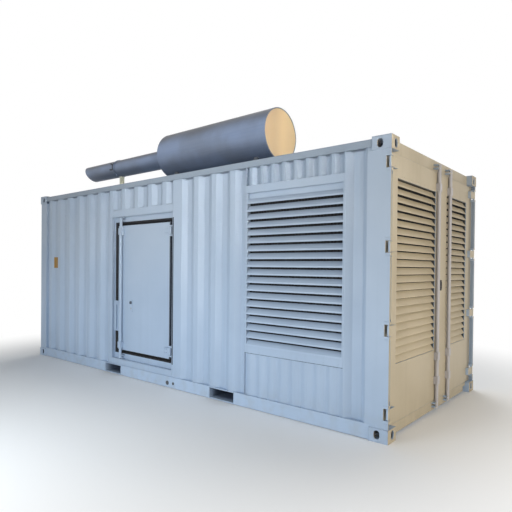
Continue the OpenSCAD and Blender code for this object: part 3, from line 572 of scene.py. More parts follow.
FINISH = {
    "paint": painted("container_paint"),
    "sheet": painted("corrugated_sheet_paint", radius=0.012, Streaks=0.3, Chips=0.1),
    "wall": painted("corrugated_wall_paint", radius=0.012, recess=UNDER_EAVES, Streaks=0.3, Chips=0.1),
    # Louvre bays: painted shade, darker high up over the louvres
    "bay": painted(
        "louvre_bay_paint", radius=0.012, recess=UNDER_EAVES, Bleached_Paint=linear(BAY_TOP_SHADED_PAINT),
        Streaks=0.3, Chips=0.1,
    ),
    # Louvre blades: paler paint as painted light, and painted shade on their upper parts
    "blades": painted(
        "louvre_blade_paint", radius=0.002, recess=UNDER_BLADES, Paint=linear(LIT_PALE_PAINT),
        Streaks=0.1, Chips=0.1,
    ),
    # End blades: a paler warm colour, painted warm light at the door end
    "end_blades": painted(
        "end_blade_paint", radius=0.002, End_Paint=linear(END_BLADE_LIT_PAINT), Streaks=0.1, Chips=0.1
    ),
    "casting": painted("casting_paint", radius=0.012, recess=CASTING_SLOTS, Chips=0.45, Gloss=0.5),
    # Top castings: darker patches, painted shade high up
    "top_casting": painted(
        "top_casting_paint", radius=0.012, recess=CASTING_SLOTS, Shade=linear(SHADED_TOP_SHADE),
        Chips=0.45, Gloss=0.5,
    ),
    "rear_post": painted("rear_post_paint", recess=POST_SLOTS),
    # Top rail: darker paint, painted shade
    "top_rail": painted("top_rail_paint", Paint=linear(SHADED_TOP_PAINT), Shade=linear(SHADED_TOP_SHADE), Bleach=0.0),
    # Bottom rail: paler paint as painted light
    "bottom_rail": painted("bottom_rail_paint", Paint=linear(LIT_PALE_PAINT), Shade=linear(LIT_PALE_SHADE)),
    "end_leaf": painted("end_door_paint", recess=IN_END_LEAF, Streaks=0.2),
    "end_rod": painted(
        "end_rod_paint", radius=0.002, Paint=linear(ROD_PAINT), Shade=linear(ROD_SHADE), End_Tone=0.0,
        Bleach=0.0, Chips=0.4,
    ),
    "fork_pocket": painted("fork_pocket_paint", recess=IN_POCKET),
    "side_leaf": painted("side_door_paint", recess=BEHIND_SIDE_LEAF, Streaks=0.15),
    "tail_post": painted("tail_post_paint", Paint=linear(POST_PAINT), Shade=linear(POST_SHADE), Bleach=0.0),
    "underframe": painted(
        "underframe_paint", Paint=linear(UNDERFRAME), Shade=linear(UNDERFRAME_SHADE), End_Tone=0.0,
        Bleach=0.0, Chips=0.5, Gloss=0.55,
    ),
    # Exhaust steel: painted shade on its top and underside
    "exhaust": rolled("exhaust_steel", 0.25, Stain=0.5, Soot=0.9, Dull=0.48, Gloss=0.36),
    # Silencer cap: a painted highlight across its right side
    "cap": rolled(
        "silencer_cap_steel", 0.1, Steel=linear(CAP), Tint=linear(CAP_SHADE), Brush_Along=(18.0, 4.0, 4.0),
        Stain=0.3, Lines=0.1, Sheen=0.9, Sheen_Start=-0.64, Sheen_Width=0.22, Gloss=0.42,
    ),
    "zinc": rolled(
        "zinc_plate", 0.6, radius=0.002, Steel=linear(ZINC), Tint=linear(ZINC_SHADE),
        Brush_Along=(12.0, 12.0, 2.0), Stain=0.4, Gloss=0.4,
    ),
    "rubber": rubber("seal_rubber", RUBBER, 240.0),
    "filter": rubber("filter_felt", FILTER_AND_SHADE, 420.0),
    "gasket": rubber("pale_gasket_rubber", GASKET, 240.0),
    "sealant": rubber("seam_sealant", SEALANT, 300.0),
    "floor": plank_floor("floor_plywood"),
    "patch": painted(
        "plain_yellow_patch", radius=0.0005, Paint=linear(PATCH_PAINT), Shade=linear(PATCH_SHADE), Bleach=0.0,
        Streaks=0.1, Chips=0.0,
    ),
}

# CAD nodes by finish; any other node wears the plain container paint
FINISH_NODES = {
    "wall": ["near_wall_front", "door_bay_panels", "near_wall_middle", "rear_wall_strips", "far_wall"],
    "bay": ["near_bay_panels", "far_bay_panels"],
    "sheet": ["roof_panel", "front_wall"],
    "blades": ["near_louvre_blades", "far_louvre_blades"],
    "end_leaf": ["near_end_leaf", "far_end_leaf"],
    "end_blades": ["near_end_blades", "far_end_blades"],
    "end_rod": ["near_end_rod", "far_end_rod"],
    # Saddles and rail fittings: dark underframe paint, also painted shade under the silencer and in the
    # fittings' openings
    "underframe": ["cross_members", "rail_fittings", "silencer_saddles"],
    "exhaust": ["silencer_shell", "tail_pipe", "tail_clamp", "tail_end", "exhaust_riser"],
    "cap": ["silencer_caps"],
    "tail_post": ["tail_post"],
    "casting": ["bottom_castings"],
    "top_casting": ["top_castings"],
    "top_rail": ["top_side_rails"],
    "bottom_rail": ["bottom_side_rails"],
    "rear_post": ["rear_posts"],
    "fork_pocket": ["fork_pockets"],
    "floor": ["floor_plate"],
    "side_leaf": ["side_door_leaf"],
    "rubber": ["side_door_seal"],
}
NODE_FINISH = {name: finish for finish, names in FINISH_NODES.items() for name in names}

for name, node in nodes.items():
    node.data.materials.clear()
    node.data.materials.append(FINISH[NODE_FINISH.get(name, "paint")])


# Repeated pieces, made with geometry nodes


def new_tree(name, inputs):
    """A geometry node tree with one mesh in, named sizes, and one mesh out."""
    tree = bpy.data.node_groups.new(name, "GeometryNodeTree")
    tree.interface.new_socket("Geometry", in_out="INPUT", socket_type="NodeSocketGeometry")
    for label, kind, default in inputs:
        socket = tree.interface.new_socket(label, in_out="INPUT", socket_type=kind)
        if default is not None:
            socket.default_value = default
    tree.interface.new_socket("Geometry", in_out="OUTPUT", socket_type="NodeSocketGeometry")
    return tree, tree.nodes.new("NodeGroupInput"), tree.nodes.new("NodeGroupOutput")


def close_tree(tree, source, sink, instances):
    """Realizes the instances, gives them the tree's material and sends them out."""
    real = put(tree, "GeometryNodeRealizeInstances", Geometry=instances)
    finish = source.outputs["Material"]
    dressed = put(tree, "GeometryNodeSetMaterial", Geometry=real.outputs[0], Material=finish)
    tree.links.new(dressed.outputs[0], sink.inputs[0])


def facing_turn(tree, seed):
    """Turns a piece's own Z to the facing of its point, with a fixed random twist round it."""
    facing = put(tree, "GeometryNodeInputNamedAttribute", {"data_type": "FLOAT_VECTOR"}, Name="facing")
    turn = put(tree, "FunctionNodeAlignRotationToVector", {"axis": "Z"}, Vector=facing.outputs[0])
    twist = put(tree, "FunctionNodeRandomValue", {"data_type": "FLOAT"}, Seed=seed)
    twist.inputs[2].default_value = 0.0
    twist.inputs[3].default_value = math.pi
    spin = put(tree, "FunctionNodeAxisAngleToRotation", Axis=(0.0, 0.0, 1.0), Angle=twist.outputs[1])
    both = put(tree, "FunctionNodeRotateRotation", {"rotation_space": "LOCAL"}, Rotation=turn.outputs[0])
    tree.links.new(spin.outputs[0], both.inputs["Rotate By"])
    return both.outputs[0]


def make_bolt_tree():
    """A hexagon head with a chamfered top on a round washer, at every point."""
    tree, source, sink = new_tree(
        "hexagon_bolts",
        [
            ("Head Radius", FLOAT, 0.012),
            ("Head Height", FLOAT, 0.008),
            ("Washer Radius", FLOAT, 0.017),
            ("Washer Height", FLOAT, 0.0025),
            ("Material", MATERIAL, None),
        ],
    )
    get = source.outputs
    washer = put(
        tree, "GeometryNodeMeshCylinder", Vertices=16, Radius=get["Washer Radius"], Depth=get["Washer Height"]
    )
    head = put(
        tree, "GeometryNodeMeshCone", Vertices=6, Depth=get["Head Height"], Radius_Bottom=get["Head Radius"],
        Radius_Top=maths(tree, "MULTIPLY", get["Head Radius"], 0.88),
    )
    lift = put(tree, "ShaderNodeCombineXYZ", Z=get["Washer Height"])
    raised = put(tree, "GeometryNodeTransform", Geometry=head.outputs[0], Translation=lift.outputs[0])
    bolt = put(tree, "GeometryNodeJoinGeometry")
    tree.links.new(washer.outputs[0], bolt.inputs[0])
    tree.links.new(raised.outputs[0], bolt.inputs[0])
    spread = put(
        tree, "GeometryNodeInstanceOnPoints", Points=get["Geometry"], Instance=bolt.outputs[0],
        Rotation=facing_turn(tree, 7),
    )
    close_tree(tree, source, sink, spread.outputs[0])
    return tree


def make_rivet_tree():
    """A low domed rivet head at every point."""
    tree, source, sink = new_tree(
        "domed_rivets",
        [("Radius", FLOAT, 0.005), ("Rise", FLOAT, 0.45), ("Material", MATERIAL, None)],
    )
    get = source.outputs
    dome = put(tree, "GeometryNodeMeshUVSphere", Segments=10, Rings=6, Radius=get["Radius"])
    flat = put(tree, "ShaderNodeCombineXYZ", X=1.0, Y=1.0, Z=get["Rise"])
    pressed = put(tree, "GeometryNodeTransform", Geometry=dome.outputs[0], Scale=flat.outputs[0])
    smooth = put(tree, "GeometryNodeSetShadeSmooth", Geometry=pressed.outputs[0])
    spread = put(
        tree, "GeometryNodeInstanceOnPoints", Points=get["Geometry"], Instance=smooth.outputs[0],
        Rotation=facing_turn(tree, 11),
    )
    close_tree(tree, source, sink, spread.outputs[0])
    return tree


def make_weld_tree():
    """A rippled weld bead: overlapping flat drops laid along every line."""
    tree, source, sink = new_tree(
        "weld_beads",
        [("Ripple", FLOAT, 0.009), ("Width", FLOAT, 0.006), ("Material", MATERIAL, None)],
    )
    get = source.outputs
    line = put(tree, "GeometryNodeMeshToCurve", Mesh=get["Geometry"])
    even = put(
        tree, "GeometryNodeResampleCurve", {"mode": "LENGTH"}, Curve=line.outputs[0], Length=get["Ripple"]
    )
    drop = put(tree, "GeometryNodeMeshUVSphere", Segments=6, Rings=4, Radius=1.0)
    size = put(tree, "ShaderNodeCombineXYZ", X=get["Ripple"], Y=get["Width"], Z=get["Width"])
    shaped = put(tree, "GeometryNodeTransform", Geometry=drop.outputs[0], Scale=size.outputs[0])
    smooth = put(tree, "GeometryNodeSetShadeSmooth", Geometry=shaped.outputs[0])
    tangent = put(tree, "GeometryNodeInputTangent")
    turn = put(tree, "FunctionNodeAlignRotationToVector", {"axis": "X"}, Vector=tangent.outputs[0])
    uneven = put(tree, "FunctionNodeRandomValue", {"data_type": "FLOAT"}, Seed=3)
    uneven.inputs[2].default_value = 0.8
    uneven.inputs[3].default_value = 1.1
    spread = put(
        tree, "GeometryNodeInstanceOnPoints", Points=even.outputs[0], Instance=smooth.outputs[0],
        Rotation=turn.outputs[0], Scale=uneven.outputs[1],
    )
    close_tree(tree, source, sink, spread.outputs[0])
    return tree


BOLTS = make_bolt_tree()
RIVETS = make_rivet_tree()
WELDS = make_weld_tree()


def settle(piece, tree, values, body):
    """Runs a tree on a piece, keeps the outcome as a plain mesh and lets it ride on a body."""
    scene.collection.objects.link(piece)
    modifier = piece.modifiers.new(tree.name, "NODES")
    modifier.node_group = tree
    for item in tree.interface.items_tree:
        if item.in_out == "INPUT" and item.name in values:
            modifier[item.identifier] = values[item.name]
    graph = bpy.context.evaluated_depsgraph_get()
    plain = bpy.data.meshes.new_from_object(piece.evaluated_get(graph))
    piece.modifiers.clear()
    piece.data = plain
    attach(piece, body)


def studs(name, places):
    """An object of loose points, each with the way it faces."""
    mesh = bpy.data.meshes.new(name)
    mesh.from_pydata([place for place, _ in places], [], [])
    facing = mesh.attributes.new("facing", "FLOAT_VECTOR", "POINT")
    facing.data.foreach_set("vector", [value for _, way in places for value in way])
    return bpy.data.objects.new(name, mesh)


def runs(name, lines):
    """An object of open or closed lines for beads to follow."""
    verts, edges = [], []
    for points in lines:
        start = len(verts)
        verts.extend(points)
        edges.extend((start + i, start + i + 1) for i in range(len(points) - 1))
    mesh = bpy.data.meshes.new(name)
    mesh.from_pydata(verts, edges, [])
    return bpy.data.objects.new(name, mesh)


def along(first, last, pitch):
    """Evenly spaced values from the first to the last, about a pitch apart."""
    count = max(1, round(abs(last - first) / pitch))
    return [first + (last - first) * i / count for i in range(count + 1)]


def ring(centre, radius, axis, count=72):
    """Points of a closed circle round an axis through a centre."""
    first = Vector(UP) if axis == "X" else Vector(DOOR_END)
    second = Vector(FAR)
    turns = [2 * math.pi * i / count for i in range(count + 1)]
    return [tuple(Vector(centre) + radius * (first * math.cos(t) + second * math.sin(t))) for t in turns]


def border(x0, x1, z0, z1, pitch):
    """Points round an upright rectangle, as pairs of its two coordinates."""
    out = [(x, z) for z in (z0, z1) for x in along(x0, x1, pitch)]
    return out + [(x, z) for x in (x0, x1) for z in along(z0, z1, pitch)[1:-1]]


def add_wall_rivets():
    """Painted rivets above and below the side louvres, and round the service door frame."""
    frame_lo, frame_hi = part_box("near_louvre_frame")
    blade_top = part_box("near_louvre_blades")[1][2]
    rows = ((blade_top + frame_hi[2]) / 2, frame_lo[2] + 0.022)
    columns = along(frame_lo[0] + 0.04, frame_hi[0] - 0.04, LOUVRE_RIVETS)
    places = []
    for face, side in ((frame_lo[1], NEAR), (-frame_lo[1], FAR)):
        for z in rows:
            places += [((x, face, z), side) for x in columns]
    door_lo, door_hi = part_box("side_door_frame")
    x0, x1 = door_lo[0] + 0.016, door_hi[0] - 0.016
    z0, z1 = door_lo[2] + 0.02, door_hi[2] - 0.02
    places += [((x, DOOR_FRAME_FACE, z), NEAR) for x, z in border(x0, x1, z0, z1, DOOR_RIVETS)]
    sizes = {"Radius": 0.005, "Rise": 0.4, "Material": FINISH["paint"]}
    settle(studs("wall_rivets", places), RIVETS, sizes, "container")


def add_end_rivets():
    """Painted rivets round the louvres of the end doors."""
    sizes = {"Radius": 0.0045, "Rise": 0.35, "Material": FINISH["paint"]}
    for side in ("near", "far"):
        lo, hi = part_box(side + "_end_blades")
        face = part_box(side + "_end_leaf")[1][0]
        outline = border(lo[1] - 0.016, hi[1] + 0.016, lo[2] - 0.04, hi[2] + 0.03, END_RIVETS)
        places = [((face, y, z), DOOR_END) for y, z in outline]
        settle(studs(side + "_louvre_rivets", places), RIVETS, sizes, side + "_end_door")


def plate_corners(centre, dx, dy, z):
    """Four bolt places near the corners of a flat plate."""
    return [((centre[0] + sx * dx, centre[1] + sy * dy, z), UP) for sx in (-1, 1) for sy in (-1, 1)]


def add_bolts():
    """Zinc bolts on the exhaust feet, and painted ones on the service door's hinges."""
    lo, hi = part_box("silencer_saddles")
    plate_z = lo[2] + FOOT_PLATE + FOOT_WASHER / 2
    y = (lo[1] + hi[1]) / 2
    places = []
    for x in (lo[0] + SADDLE_INSET, hi[0] - SADDLE_INSET):
        places += plate_corners((x, y), *SADDLE_BOLTS, plate_z)
    for name, reach in FOOT_BOLTS.items():
        lo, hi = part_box(name)
        places += plate_corners(((lo[0] + hi[0]) / 2, (lo[1] + hi[1]) / 2), reach, reach, plate_z)
    sizes = {
        "Head Radius": 0.013, "Head Height": 0.009, "Washer Radius": 0.019, "Washer Height": FOOT_WASHER,
        "Material": FINISH["zinc"],
    }
    settle(studs("exhaust_foot_bolts", places), BOLTS, sizes, "container")
    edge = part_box("side_door_hinges")[0][0]
    places = [((edge + dx, HINGE_BOLT_FACE, z), NEAR) for dx in HINGE_BOLT_DX for z in HINGE_BOLT_Z]
    sizes = {
        "Head Radius": 0.0075, "Head Height": 0.005, "Washer Radius": 0.0, "Washer Height": 0.001,
        "Material": FINISH["paint"],
    }
    settle(studs("side_hinge_bolts", places), BOLTS, sizes, "side_door")


def add_silencer_welds():
    """Weld beads round the silencer's ends, where the tail pipe enters it, and round the riser's foot."""
    lo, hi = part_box("silencer_shell")
    y, z = (lo[1] + hi[1]) / 2, (lo[2] + hi[2]) / 2
    inner = (hi[2] - lo[2]) / 2 - WELD_INSET
    tail_lo, tail_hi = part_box("tail_pipe")
    tail = (tail_hi[2] - tail_lo[2]) / 2
    lines = [ring((x, y, z), inner, "X") for x in (hi[0], lo[0])]
    lines.append(ring((lo[0], y, z), tail + 0.002, "X", 48))
    riser_lo, riser_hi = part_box("exhaust_riser")
    foot = ((riser_lo[0] + riser_hi[0]) / 2, y, riser_lo[2] + FOOT_PLATE)
    lines.append(ring(foot, RISER_WELD, "Z", 40))
    sizes = {"Ripple": 0.01, "Width": 0.005, "Material": FINISH["exhaust"]}
    settle(runs("silencer_welds", lines), WELDS, sizes, "container")


def add_louvre_sealant():
    """A line of dark sealant under the flat surround of both side louvres, dark also as a painted shadow line
    along the seam.
    """
    lo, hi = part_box("near_louvre_frame")
    x0, x1 = lo[0] + 0.004, hi[0] - 0.004
    y, z = lo[1] + 0.002, lo[2] - 0.001
    lines = [[(x0, side * y, z), (x1, side * y, z)] for side in (1.0, -1.0)]
    sizes = {"Ripple": 0.012, "Width": 0.003, "Material": FINISH["sealant"]}
    settle(runs("louvre_seam_sealant", lines), WELDS, sizes, "container")


def add_frame_welds():
    """Weld beads where the posts meet the castings, and round the fork pockets."""
    lines = []
    for x0, x1 in POST_SEAM_X:
        for y in (-FRAME_FACE, FRAME_FACE):
            lines += [[(x0, y, z), (x1, y, z)] for z in POST_SEAM_Z]
    low, high = POCKET_SEAM_Z
    for x in POCKET_X:
        x0, x1 = x - POCKET_HALF, x + POCKET_HALF
        for y in (-FRAME_FACE, FRAME_FACE):
            lines.append([(x0, y, low), (x0, y, high), (x1, y, high), (x1, y, low)])
    sizes = {"Ripple": 0.01, "Width": 0.004, "Material": FINISH["paint"]}
    settle(runs("frame_welds", lines), WELDS, sizes, "container")


# Single pieces


def finish_piece(name, verts, faces, finish, body):
    """A mesh piece at the origin with one finish, riding on a body."""
    mesh = bpy.data.meshes.new(name)
    mesh.from_pydata(verts, [], faces)
    mesh.materials.append(FINISH[finish])
    piece = bpy.data.objects.new(name, mesh)
    scene.collection.objects.link(piece)
    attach(piece, body)


def turned_over(faces):
    """The same faces, looking the other way."""
    return [tuple(reversed(face)) for face in faces]


def pleated_pad(name, width, height, front, back, place, body, mirrored=False):
    """A closed pleated filter board: upright folds across a width, set behind a louvre."""
    folds = along(*width, PAD_FOLD)
    depth = [front if i % 2 else front + (back - front) * 0.75 for i in range(len(folds))]
    verts = []
    for z in height:
        verts += [place(a, d, z) for a, d in zip(folds, depth)]
        verts += [place(a, back, z) for a in folds]
    n = len(folds)
    faces = []
    for i in range(n - 1):
        low, high = i, i + 2 * n
        faces.append((low, low + 1, high + 1, high))
        faces.append((low + n + 1, low + n, high + n, high + n + 1))
        faces.append((low + 1, low, low + n, low + n + 1))
        faces.append((high, high + 1, high + n + 1, high + n))
    faces.append((0, 2 * n, 3 * n, n))
    faces.append((n - 1, 2 * n - 1, 4 * n - 1, 3 * n - 1))
    if mirrored:
        faces = turned_over(faces)
    finish_piece(name, verts, faces, "filter", body)


def add_pads():
    """Dark filter pads behind the four louvres, dark as painted shade so that their gaps stay dark as in the
    photograph.
    """
    lo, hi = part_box("near_louvre_blades")
    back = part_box("near_louvre_frame")[1][1]
    for name, side in (("near_filter_pad", 1.0), ("far_filter_pad", -1.0)):
        pleated_pad(
            name, (lo[0] - 0.008, hi[0] + 0.008), (lo[2] - 0.012, hi[2] + 0.012), back, back + PAD_DEPTH,
            lambda a, d, z, s=side: (a, s * d, z), "container", mirrored=side < 0,
        )
    for side in ("near", "far"):
        lo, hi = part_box(side + "_end_blades")
        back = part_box(side + "_end_leaf")[0][0]
        pleated_pad(
            side + "_end_filter_pad", (lo[1] - 0.012, hi[1] + 0.012), (lo[2] - 0.03, hi[2] + 0.02),
            back, back - PAD_DEPTH, lambda a, d, z: (d, a, z), side + "_end_door",
        )


def wall_depth(x):
    """Depth of the corrugated near wall behind its face at one place."""
    across = (x - WALL_CREST) % WALL_PITCH
    if across <= WALL_FLAT:
        return 0.0
    if across < WALL_FLAT + WALL_SLOPE:
        return WALL_DEPTH * (across - WALL_FLAT) / WALL_SLOPE
    if across <= WALL_FLAT + WALL_SLOPE + WALL_VALLEY:
        return WALL_DEPTH
    return WALL_DEPTH * (WALL_PITCH - across) / WALL_SLOPE


def add_patch():
    """A plain yellow patch laid on the corrugated wall, following its folds."""
    fold = WALL_CREST - PATCH_CRESTS * WALL_PITCH + WALL_FLAT + WALL_SLOPE
    columns = [PATCH_X[0], fold, PATCH_X[1]]
    verts = []
    for lift in (PATCH_THICKNESS, 0.0):
        for z in PATCH_Z:
            verts += [(x, WALL_FACE + wall_depth(x) - lift, z) for x in columns]
    n = len(columns)
    faces = []
    for i in range(n - 1):
        faces.append((i, i + 1, n + i + 1, n + i))
        faces.append((3 * n + i, 3 * n + i + 1, 2 * n + i + 1, 2 * n + i))
        faces.append((2 * n + i, 2 * n + i + 1, i + 1, i))
        faces.append((n + i, n + i + 1, 3 * n + i + 1, 3 * n + i))
    faces.append((0, n, 3 * n, 2 * n))
    faces.append((2 * n - 1, n - 1, 3 * n - 1, 4 * n - 1))
    finish_piece("plain_patch", verts, faces, "patch", "container")


def turned(profile, centre, axis, count=28):
    """Vertices and faces of a profile (radius, rise) turned round an axis through a centre."""
    axis = Vector(axis)
    side = axis.orthogonal().normalized()
    other = axis.cross(side)
    verts, faces = [], []
    for radius, rise in profile:
        for i in range(count):
            angle = 2 * math.pi * i / count
            out = side * math.cos(angle) + other * math.sin(angle)
            verts.append(tuple(Vector(centre) + axis * rise + radius * out))
    for j in range(len(profile) - 1):
        for i in range(count):
            k = (i + 1) % count
            faces.append((j * count + i, j * count + k, (j + 1) * count + k, (j + 1) * count + i))
    faces.append(tuple(reversed(range(count))))
    faces.append(tuple(range((len(profile) - 1) * count, len(profile) * count)))
    return verts, faces


def ring_strip(outer, inner, y0, y1):
    """Vertices and faces of an upright rectangular ring between two depths."""
    verts = []
    for y in (y0, y1):
        for x0, x1, z0, z1 in (outer, inner):
            verts += [(x0, y, z0), (x1, y, z0), (x1, y, z1), (x0, y, z1)]
    faces = []
    for i in range(4):
        k = (i + 1) % 4
        faces.append((i, k, 4 + k, 4 + i))
        faces.append((8 + k, 8 + i, 12 + i, 12 + k))
        faces.append((k, i, 8 + i, 8 + k))
        faces.append((4 + i, 4 + k, 12 + k, 12 + i))
    return verts, faces


def chamfered_block(lo, hi, cut, axis):
    """Vertices and faces of a block, chamfered round its outer face along an axis (number, sign)."""
    number, sign = axis
    a, b = [i for i in range(3) if i != number]
    outer, inner = (hi, lo) if sign > 0 else (lo, hi)
    span = outer[number] - inner[number]
    levels = [(inner[number], 0.0), (outer[number] - math.copysign(cut, span), 0.0), (outer[number], cut)]
    verts = []
    for depth, pull in levels:
        for sa, sb in ((0, 0), (1, 0), (1, 1), (0, 1)):
            point = [0.0, 0.0, 0.0]
            point[number] = depth
            point[a] = hi[a] - pull if sa else lo[a] + pull
            point[b] = hi[b] - pull if sb else lo[b] + pull
            verts.append(tuple(point))
    faces = [(3, 2, 1, 0), (8, 9, 10, 11)]
    for j in (0, 4):
        faces += [(j + i, j + (i + 1) % 4, j + 4 + (i + 1) % 4, j + 4 + i) for i in range(4)]
    if (sign > 0) == (number == 1):
        faces = turned_over(faces)
    return verts, faces


def join(parts):
    """Several vertex and face lists as one."""
    verts, faces = [], []
    for part_verts, part_faces in parts:
        start = len(verts)
        verts += part_verts
        faces += [tuple(start + i for i in face) for face in part_faces]
    return verts, faces


# Number and sign of the axis that a block's chamfered face looks along
ALONG_X = (0, 1)
ALONG_NEAR = (1, -1)


def add_key_cover():
    """A dark rubber flap over the key lock of the service door, and a zinc escutcheon below it."""
    verts, faces = turned(KEY_COVER_PROFILE, KEY_COVER_PLACE, NEAR)
    finish_piece("key_cover", verts, faces, "sealant", "side_door")
    verts, faces = turned(KEY_PLATE_PROFILE, KEY_PLATE_PLACE, NEAR, 20)
    finish_piece("key_escutcheon", verts, faces, "zinc", "side_door")


def add_door_seals():
    """The rubber lip on the service door's frame, the trim on its jamb and the rubber on its leaf's edge,
    dark also as painted shade of the door's gap.
    """
    x0, x1, z0, z1 = DOOR_OPENING
    outer = (x0 - LIP_LEFT, x1 + LIP_RIGHT, z0 - LIP_BELOW, z1 + LIP_ABOVE)
    verts, faces = ring_strip(outer, DOOR_OPENING, DOOR_FRAME_FACE - LIP_THICKNESS, DOOR_FRAME_FACE)
    finish_piece("door_seal_lip", verts, faces, "rubber", "container")
    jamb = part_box("near_wall_middle")[0][0]
    low = (jamb + 0.0005, WALL_FACE - 0.0015, outer[2])
    high = (jamb + 0.017, WALL_FACE + 0.001, outer[3])
    verts, faces = chamfered_block(low, high, 0.001, ALONG_NEAR)
    finish_piece("jamb_edge_trim", verts, faces, "rubber", "container")
    lo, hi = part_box("side_door_leaf")
    low = (hi[0] - 0.013, lo[1] - 0.0015, lo[2] + 0.002)
    high = (hi[0] - 0.0005, lo[1] + 0.001, hi[2] - 0.002)
    verts, faces = chamfered_block(low, high, 0.001, ALONG_NEAR)
    finish_piece("leaf_edge_rubber", verts, faces, "rubber", "side_door")


def add_end_gaskets():
    """Pale gaskets along the hinged edges of the end doors, between the hinges."""
    count = len(GASKET_PROFILE)
    around = [(i, (i + 1) % count, count + (i + 1) % count, count + i) for i in range(count)]
    around += [tuple(reversed(range(count))), tuple(range(count, 2 * count))]
    for side, sign in (("near", 1.0), ("far", -1.0)):
        lo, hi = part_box(side + "_end_leaf")
        edge = lo[1] if sign > 0 else hi[1]
        section = [(hi[0] - depth, edge - sign * reach) for depth, reach in GASKET_PROFILE]
        shell = turned_over(around) if sign > 0 else around
        stops = [lo[2] - GASKET_END] + END_HINGE_Z + [hi[2] + GASKET_END]
        parts = []
        for low, high in zip(stops, stops[1:]):
            if high - low > GASKET_SHORTEST:
                ends = (low + HINGE_CLEAR, high - HINGE_CLEAR)
                parts.append(([(x, y, z) for z in ends for x, y in section], shell))
        verts, faces = join(parts)
        finish_piece(side + "_end_gasket", verts, faces, "gasket", side + "_end_door")


def add_end_pull():
    """The flush pull on the far end door: a bezel with a grip."""
    lo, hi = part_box("far_end_leaf")
    x, y = hi[0], lo[1] + 0.062
    z0, z1 = PULL_Z
    bezel = chamfered_block((x - 0.002, y - 0.044, z0), (x + 0.004, y, z1), 0.003, ALONG_X)
    low = (x + 0.003, y - 0.030, z0 + 0.018)
    high = (x + 0.011, y - 0.014, z1 - 0.018)
    grip = chamfered_block(low, high, 0.004, ALONG_X)
    verts, faces = join([bezel, grip])
    finish_piece("end_door_pull", verts, faces, "rubber", "far_end_door")


def add_clamp_lugs():
    """The two bolted lugs of the tail pipe's clamp, and the strap between them."""
    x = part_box("tail_clamp")[0][0]
    parts = []
    for y, z in CLAMP_LUGS:
        low = (x - 0.062, y - 0.02, z - 0.009)
        high = (x + 0.014, y + 0.012, z + 0.009)
        parts.append(chamfered_block(low, high, 0.005, ALONG_NEAR))
        parts.append(turned(CLAMP_BOLT_PROFILE, (x - 0.042, y - 0.02, z), NEAR, 6))
    (inner, top), (_, bottom) = CLAMP_LUGS
    parts.append(chamfered_block((x - 0.004, STRAP_FACE, bottom), (x + 0.01, inner, top), 0.004, ALONG_NEAR))
    verts, faces = join(parts)
    finish_piece("clamp_lugs", verts, faces, "underframe", "container")


add_wall_rivets()
add_end_rivets()
add_bolts()
add_silencer_welds()
add_louvre_sealant()
add_frame_welds()
add_pads()
add_patch()
add_key_cover()
add_door_seals()
add_end_gaskets()
add_end_pull()
add_clamp_lugs()


# Camera, floor and light


def make_camera():
    """The photograph's camera: its place, turn, focal length and optical centre."""
    az, dip, roll = (math.radians(v) for v in (CAMERA_AZIMUTH, CAMERA_DIP, CAMERA_ROLL))
    ahead = Vector((-math.sin(az) * math.cos(dip), math.cos(az) * math.cos(dip), -math.sin(dip)))
    level = Vector((math.cos(az), math.sin(az), 0.0))
    upright = level.cross(ahead)
    right = level * math.cos(roll) + upright * math.sin(roll)
    up = upright * math.cos(roll) - level * math.sin(roll)
    data = bpy.data.cameras.new("photo_camera")
    data.sensor_width = SENSOR_MM
    data.lens = FOCAL_PX / IMAGE_PX * SENSOR_MM
    data.shift_x = (IMAGE_PX / 2 - CENTRE_PX[0]) / IMAGE_PX
    data.shift_y = (CENTRE_PX[1] - IMAGE_PX / 2) / IMAGE_PX
    data.clip_end = VIEW_LIMIT
    camera = bpy.data.objects.new("photo_camera", data)
    turn = Matrix((right, up, -ahead)).transposed().to_4x4()
    camera.matrix_world = Matrix.Translation(CAMERA_PLACE) @ turn
    scene.collection.objects.link(camera)
    scene.camera = camera


def soft_box(name, place, target, size, power, colour, spread=180.0):
    """A square studio light that faces a point, narrowed by a grid where a spread in degrees is given."""
    data = bpy.data.lights.new(name, "AREA")
    data.shape = "SQUARE"
    data.size = size
    data.energy = power
    data.color = colour
    data.spread = math.radians(spread)
    lamp = bpy.data.objects.new(name, data)
    lamp.location = place
    lamp.rotation_euler = (Vector(target) - Vector(place)).to_track_quat("-Z", "Y").to_euler()
    scene.collection.objects.link(lamp)


def seen_directly(tree):
    """Whether a ray shows the surroundings as such: from the camera, a reflection or through glass."""
    path = put(tree, "ShaderNodeLightPath")
    seen = maths(tree, "ADD", path.outputs["Is Camera Ray"], path.outputs["Is Glossy Ray"], clamp=True)
    return maths(tree, "ADD", seen, path.outputs["Is Transmission Ray"], clamp=True)


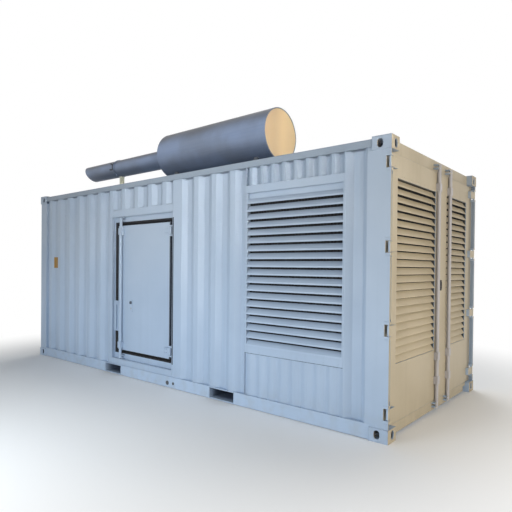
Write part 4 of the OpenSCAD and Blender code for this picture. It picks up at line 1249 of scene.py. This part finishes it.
def make_floor():
    """A pale studio floor that keeps the shadow near the object and turns white further out."""
    mesh = bpy.data.meshes.new("studio_floor")
    half = FLOOR_HALF
    corners = [(-half, -half, 0), (half, -half, 0), (half, half, 0), (-half, half, 0)]
    mesh.from_pydata(corners, [], [(0, 1, 2, 3)])
    floor = bpy.data.objects.new("studio_floor", mesh)
    scene.collection.objects.link(floor)
    material, tree, shader = new_material("studio_floor")
    shader.inputs["Base Color"].default_value = linear(STUDIO_WHITE)
    shader.inputs["Roughness"].default_value = 0.9
    place = put(tree, "ShaderNodeTexCoord").outputs["Object"]
    reach = put(tree, "ShaderNodeVectorMath", {"operation": "LENGTH"})
    tree.links.new(place, reach.inputs[0])
    far = ramp(tree, reach.outputs["Value"], *FLOOR_FADE)
    glow = put(tree, "ShaderNodeEmission", Color=WHITE, Strength=1.0)
    blend = put(tree, "ShaderNodeMixShader", Fac=maths(tree, "MULTIPLY", far, seen_directly(tree)))
    tree.links.new(shader.outputs[0], blend.inputs[1])
    tree.links.new(glow.outputs[0], blend.inputs[2])
    out = next(n for n in tree.nodes if n.type == "OUTPUT_MATERIAL")
    tree.links.new(blend.outputs[0], out.inputs["Surface"])
    mesh.materials.append(material)


def make_world():
    """Even studio surroundings, seen as white behind the object."""
    world = bpy.data.worlds.new("studio")
    scene.world = world
    world.use_nodes = True
    tree = world.node_tree
    tree.nodes.clear()
    around = put(tree, "ShaderNodeBackground", Color=SURROUNDINGS, Strength=0.22)
    white = put(tree, "ShaderNodeBackground", Color=WHITE, Strength=1.0)
    blend = put(tree, "ShaderNodeMixShader", Fac=seen_directly(tree))
    tree.links.new(around.outputs[0], blend.inputs[1])
    tree.links.new(white.outputs[0], blend.inputs[2])
    out = put(tree, "ShaderNodeOutputWorld")
    tree.links.new(blend.outputs[0], out.inputs["Surface"])


make_camera()
make_world()
make_floor()

# Lights: name, place, point that it faces, side in metres, power in watts and colour
soft_box("side_fill", (0.7, -5.6, 1.25), (1.0, -1.2, 0.4), 2.4, 120.0, SKY_LIGHT)
soft_box("slope_key", (16.0, -12.0, 5.0), (0.5, -1.2, 1.4), 5.0, 300.0, DAY_LIGHT)
soft_box("eaves_key", (10.0, -5.2, 4.4), (1.0, -1.2, 2.75), 1.4, 7.5, DAY_LIGHT, spread=16.0)
soft_box("end_key", (7.0, -1.4, 1.6), (3.0, -0.2, 1.2), 2.5, 104.0, WARM_LIGHT)
soft_box("top_fill", (0.0, 3.5, 9.0), (0.0, 0.3, 1.5), 6.0, 260.0, DAY_LIGHT)
soft_box("back_fill", (-5.0, 9.0, 3.6), (-0.5, 1.2, 1.2), 6.0, 420.0, COOL_LIGHT)
scene.view_settings.view_transform = "Standard"
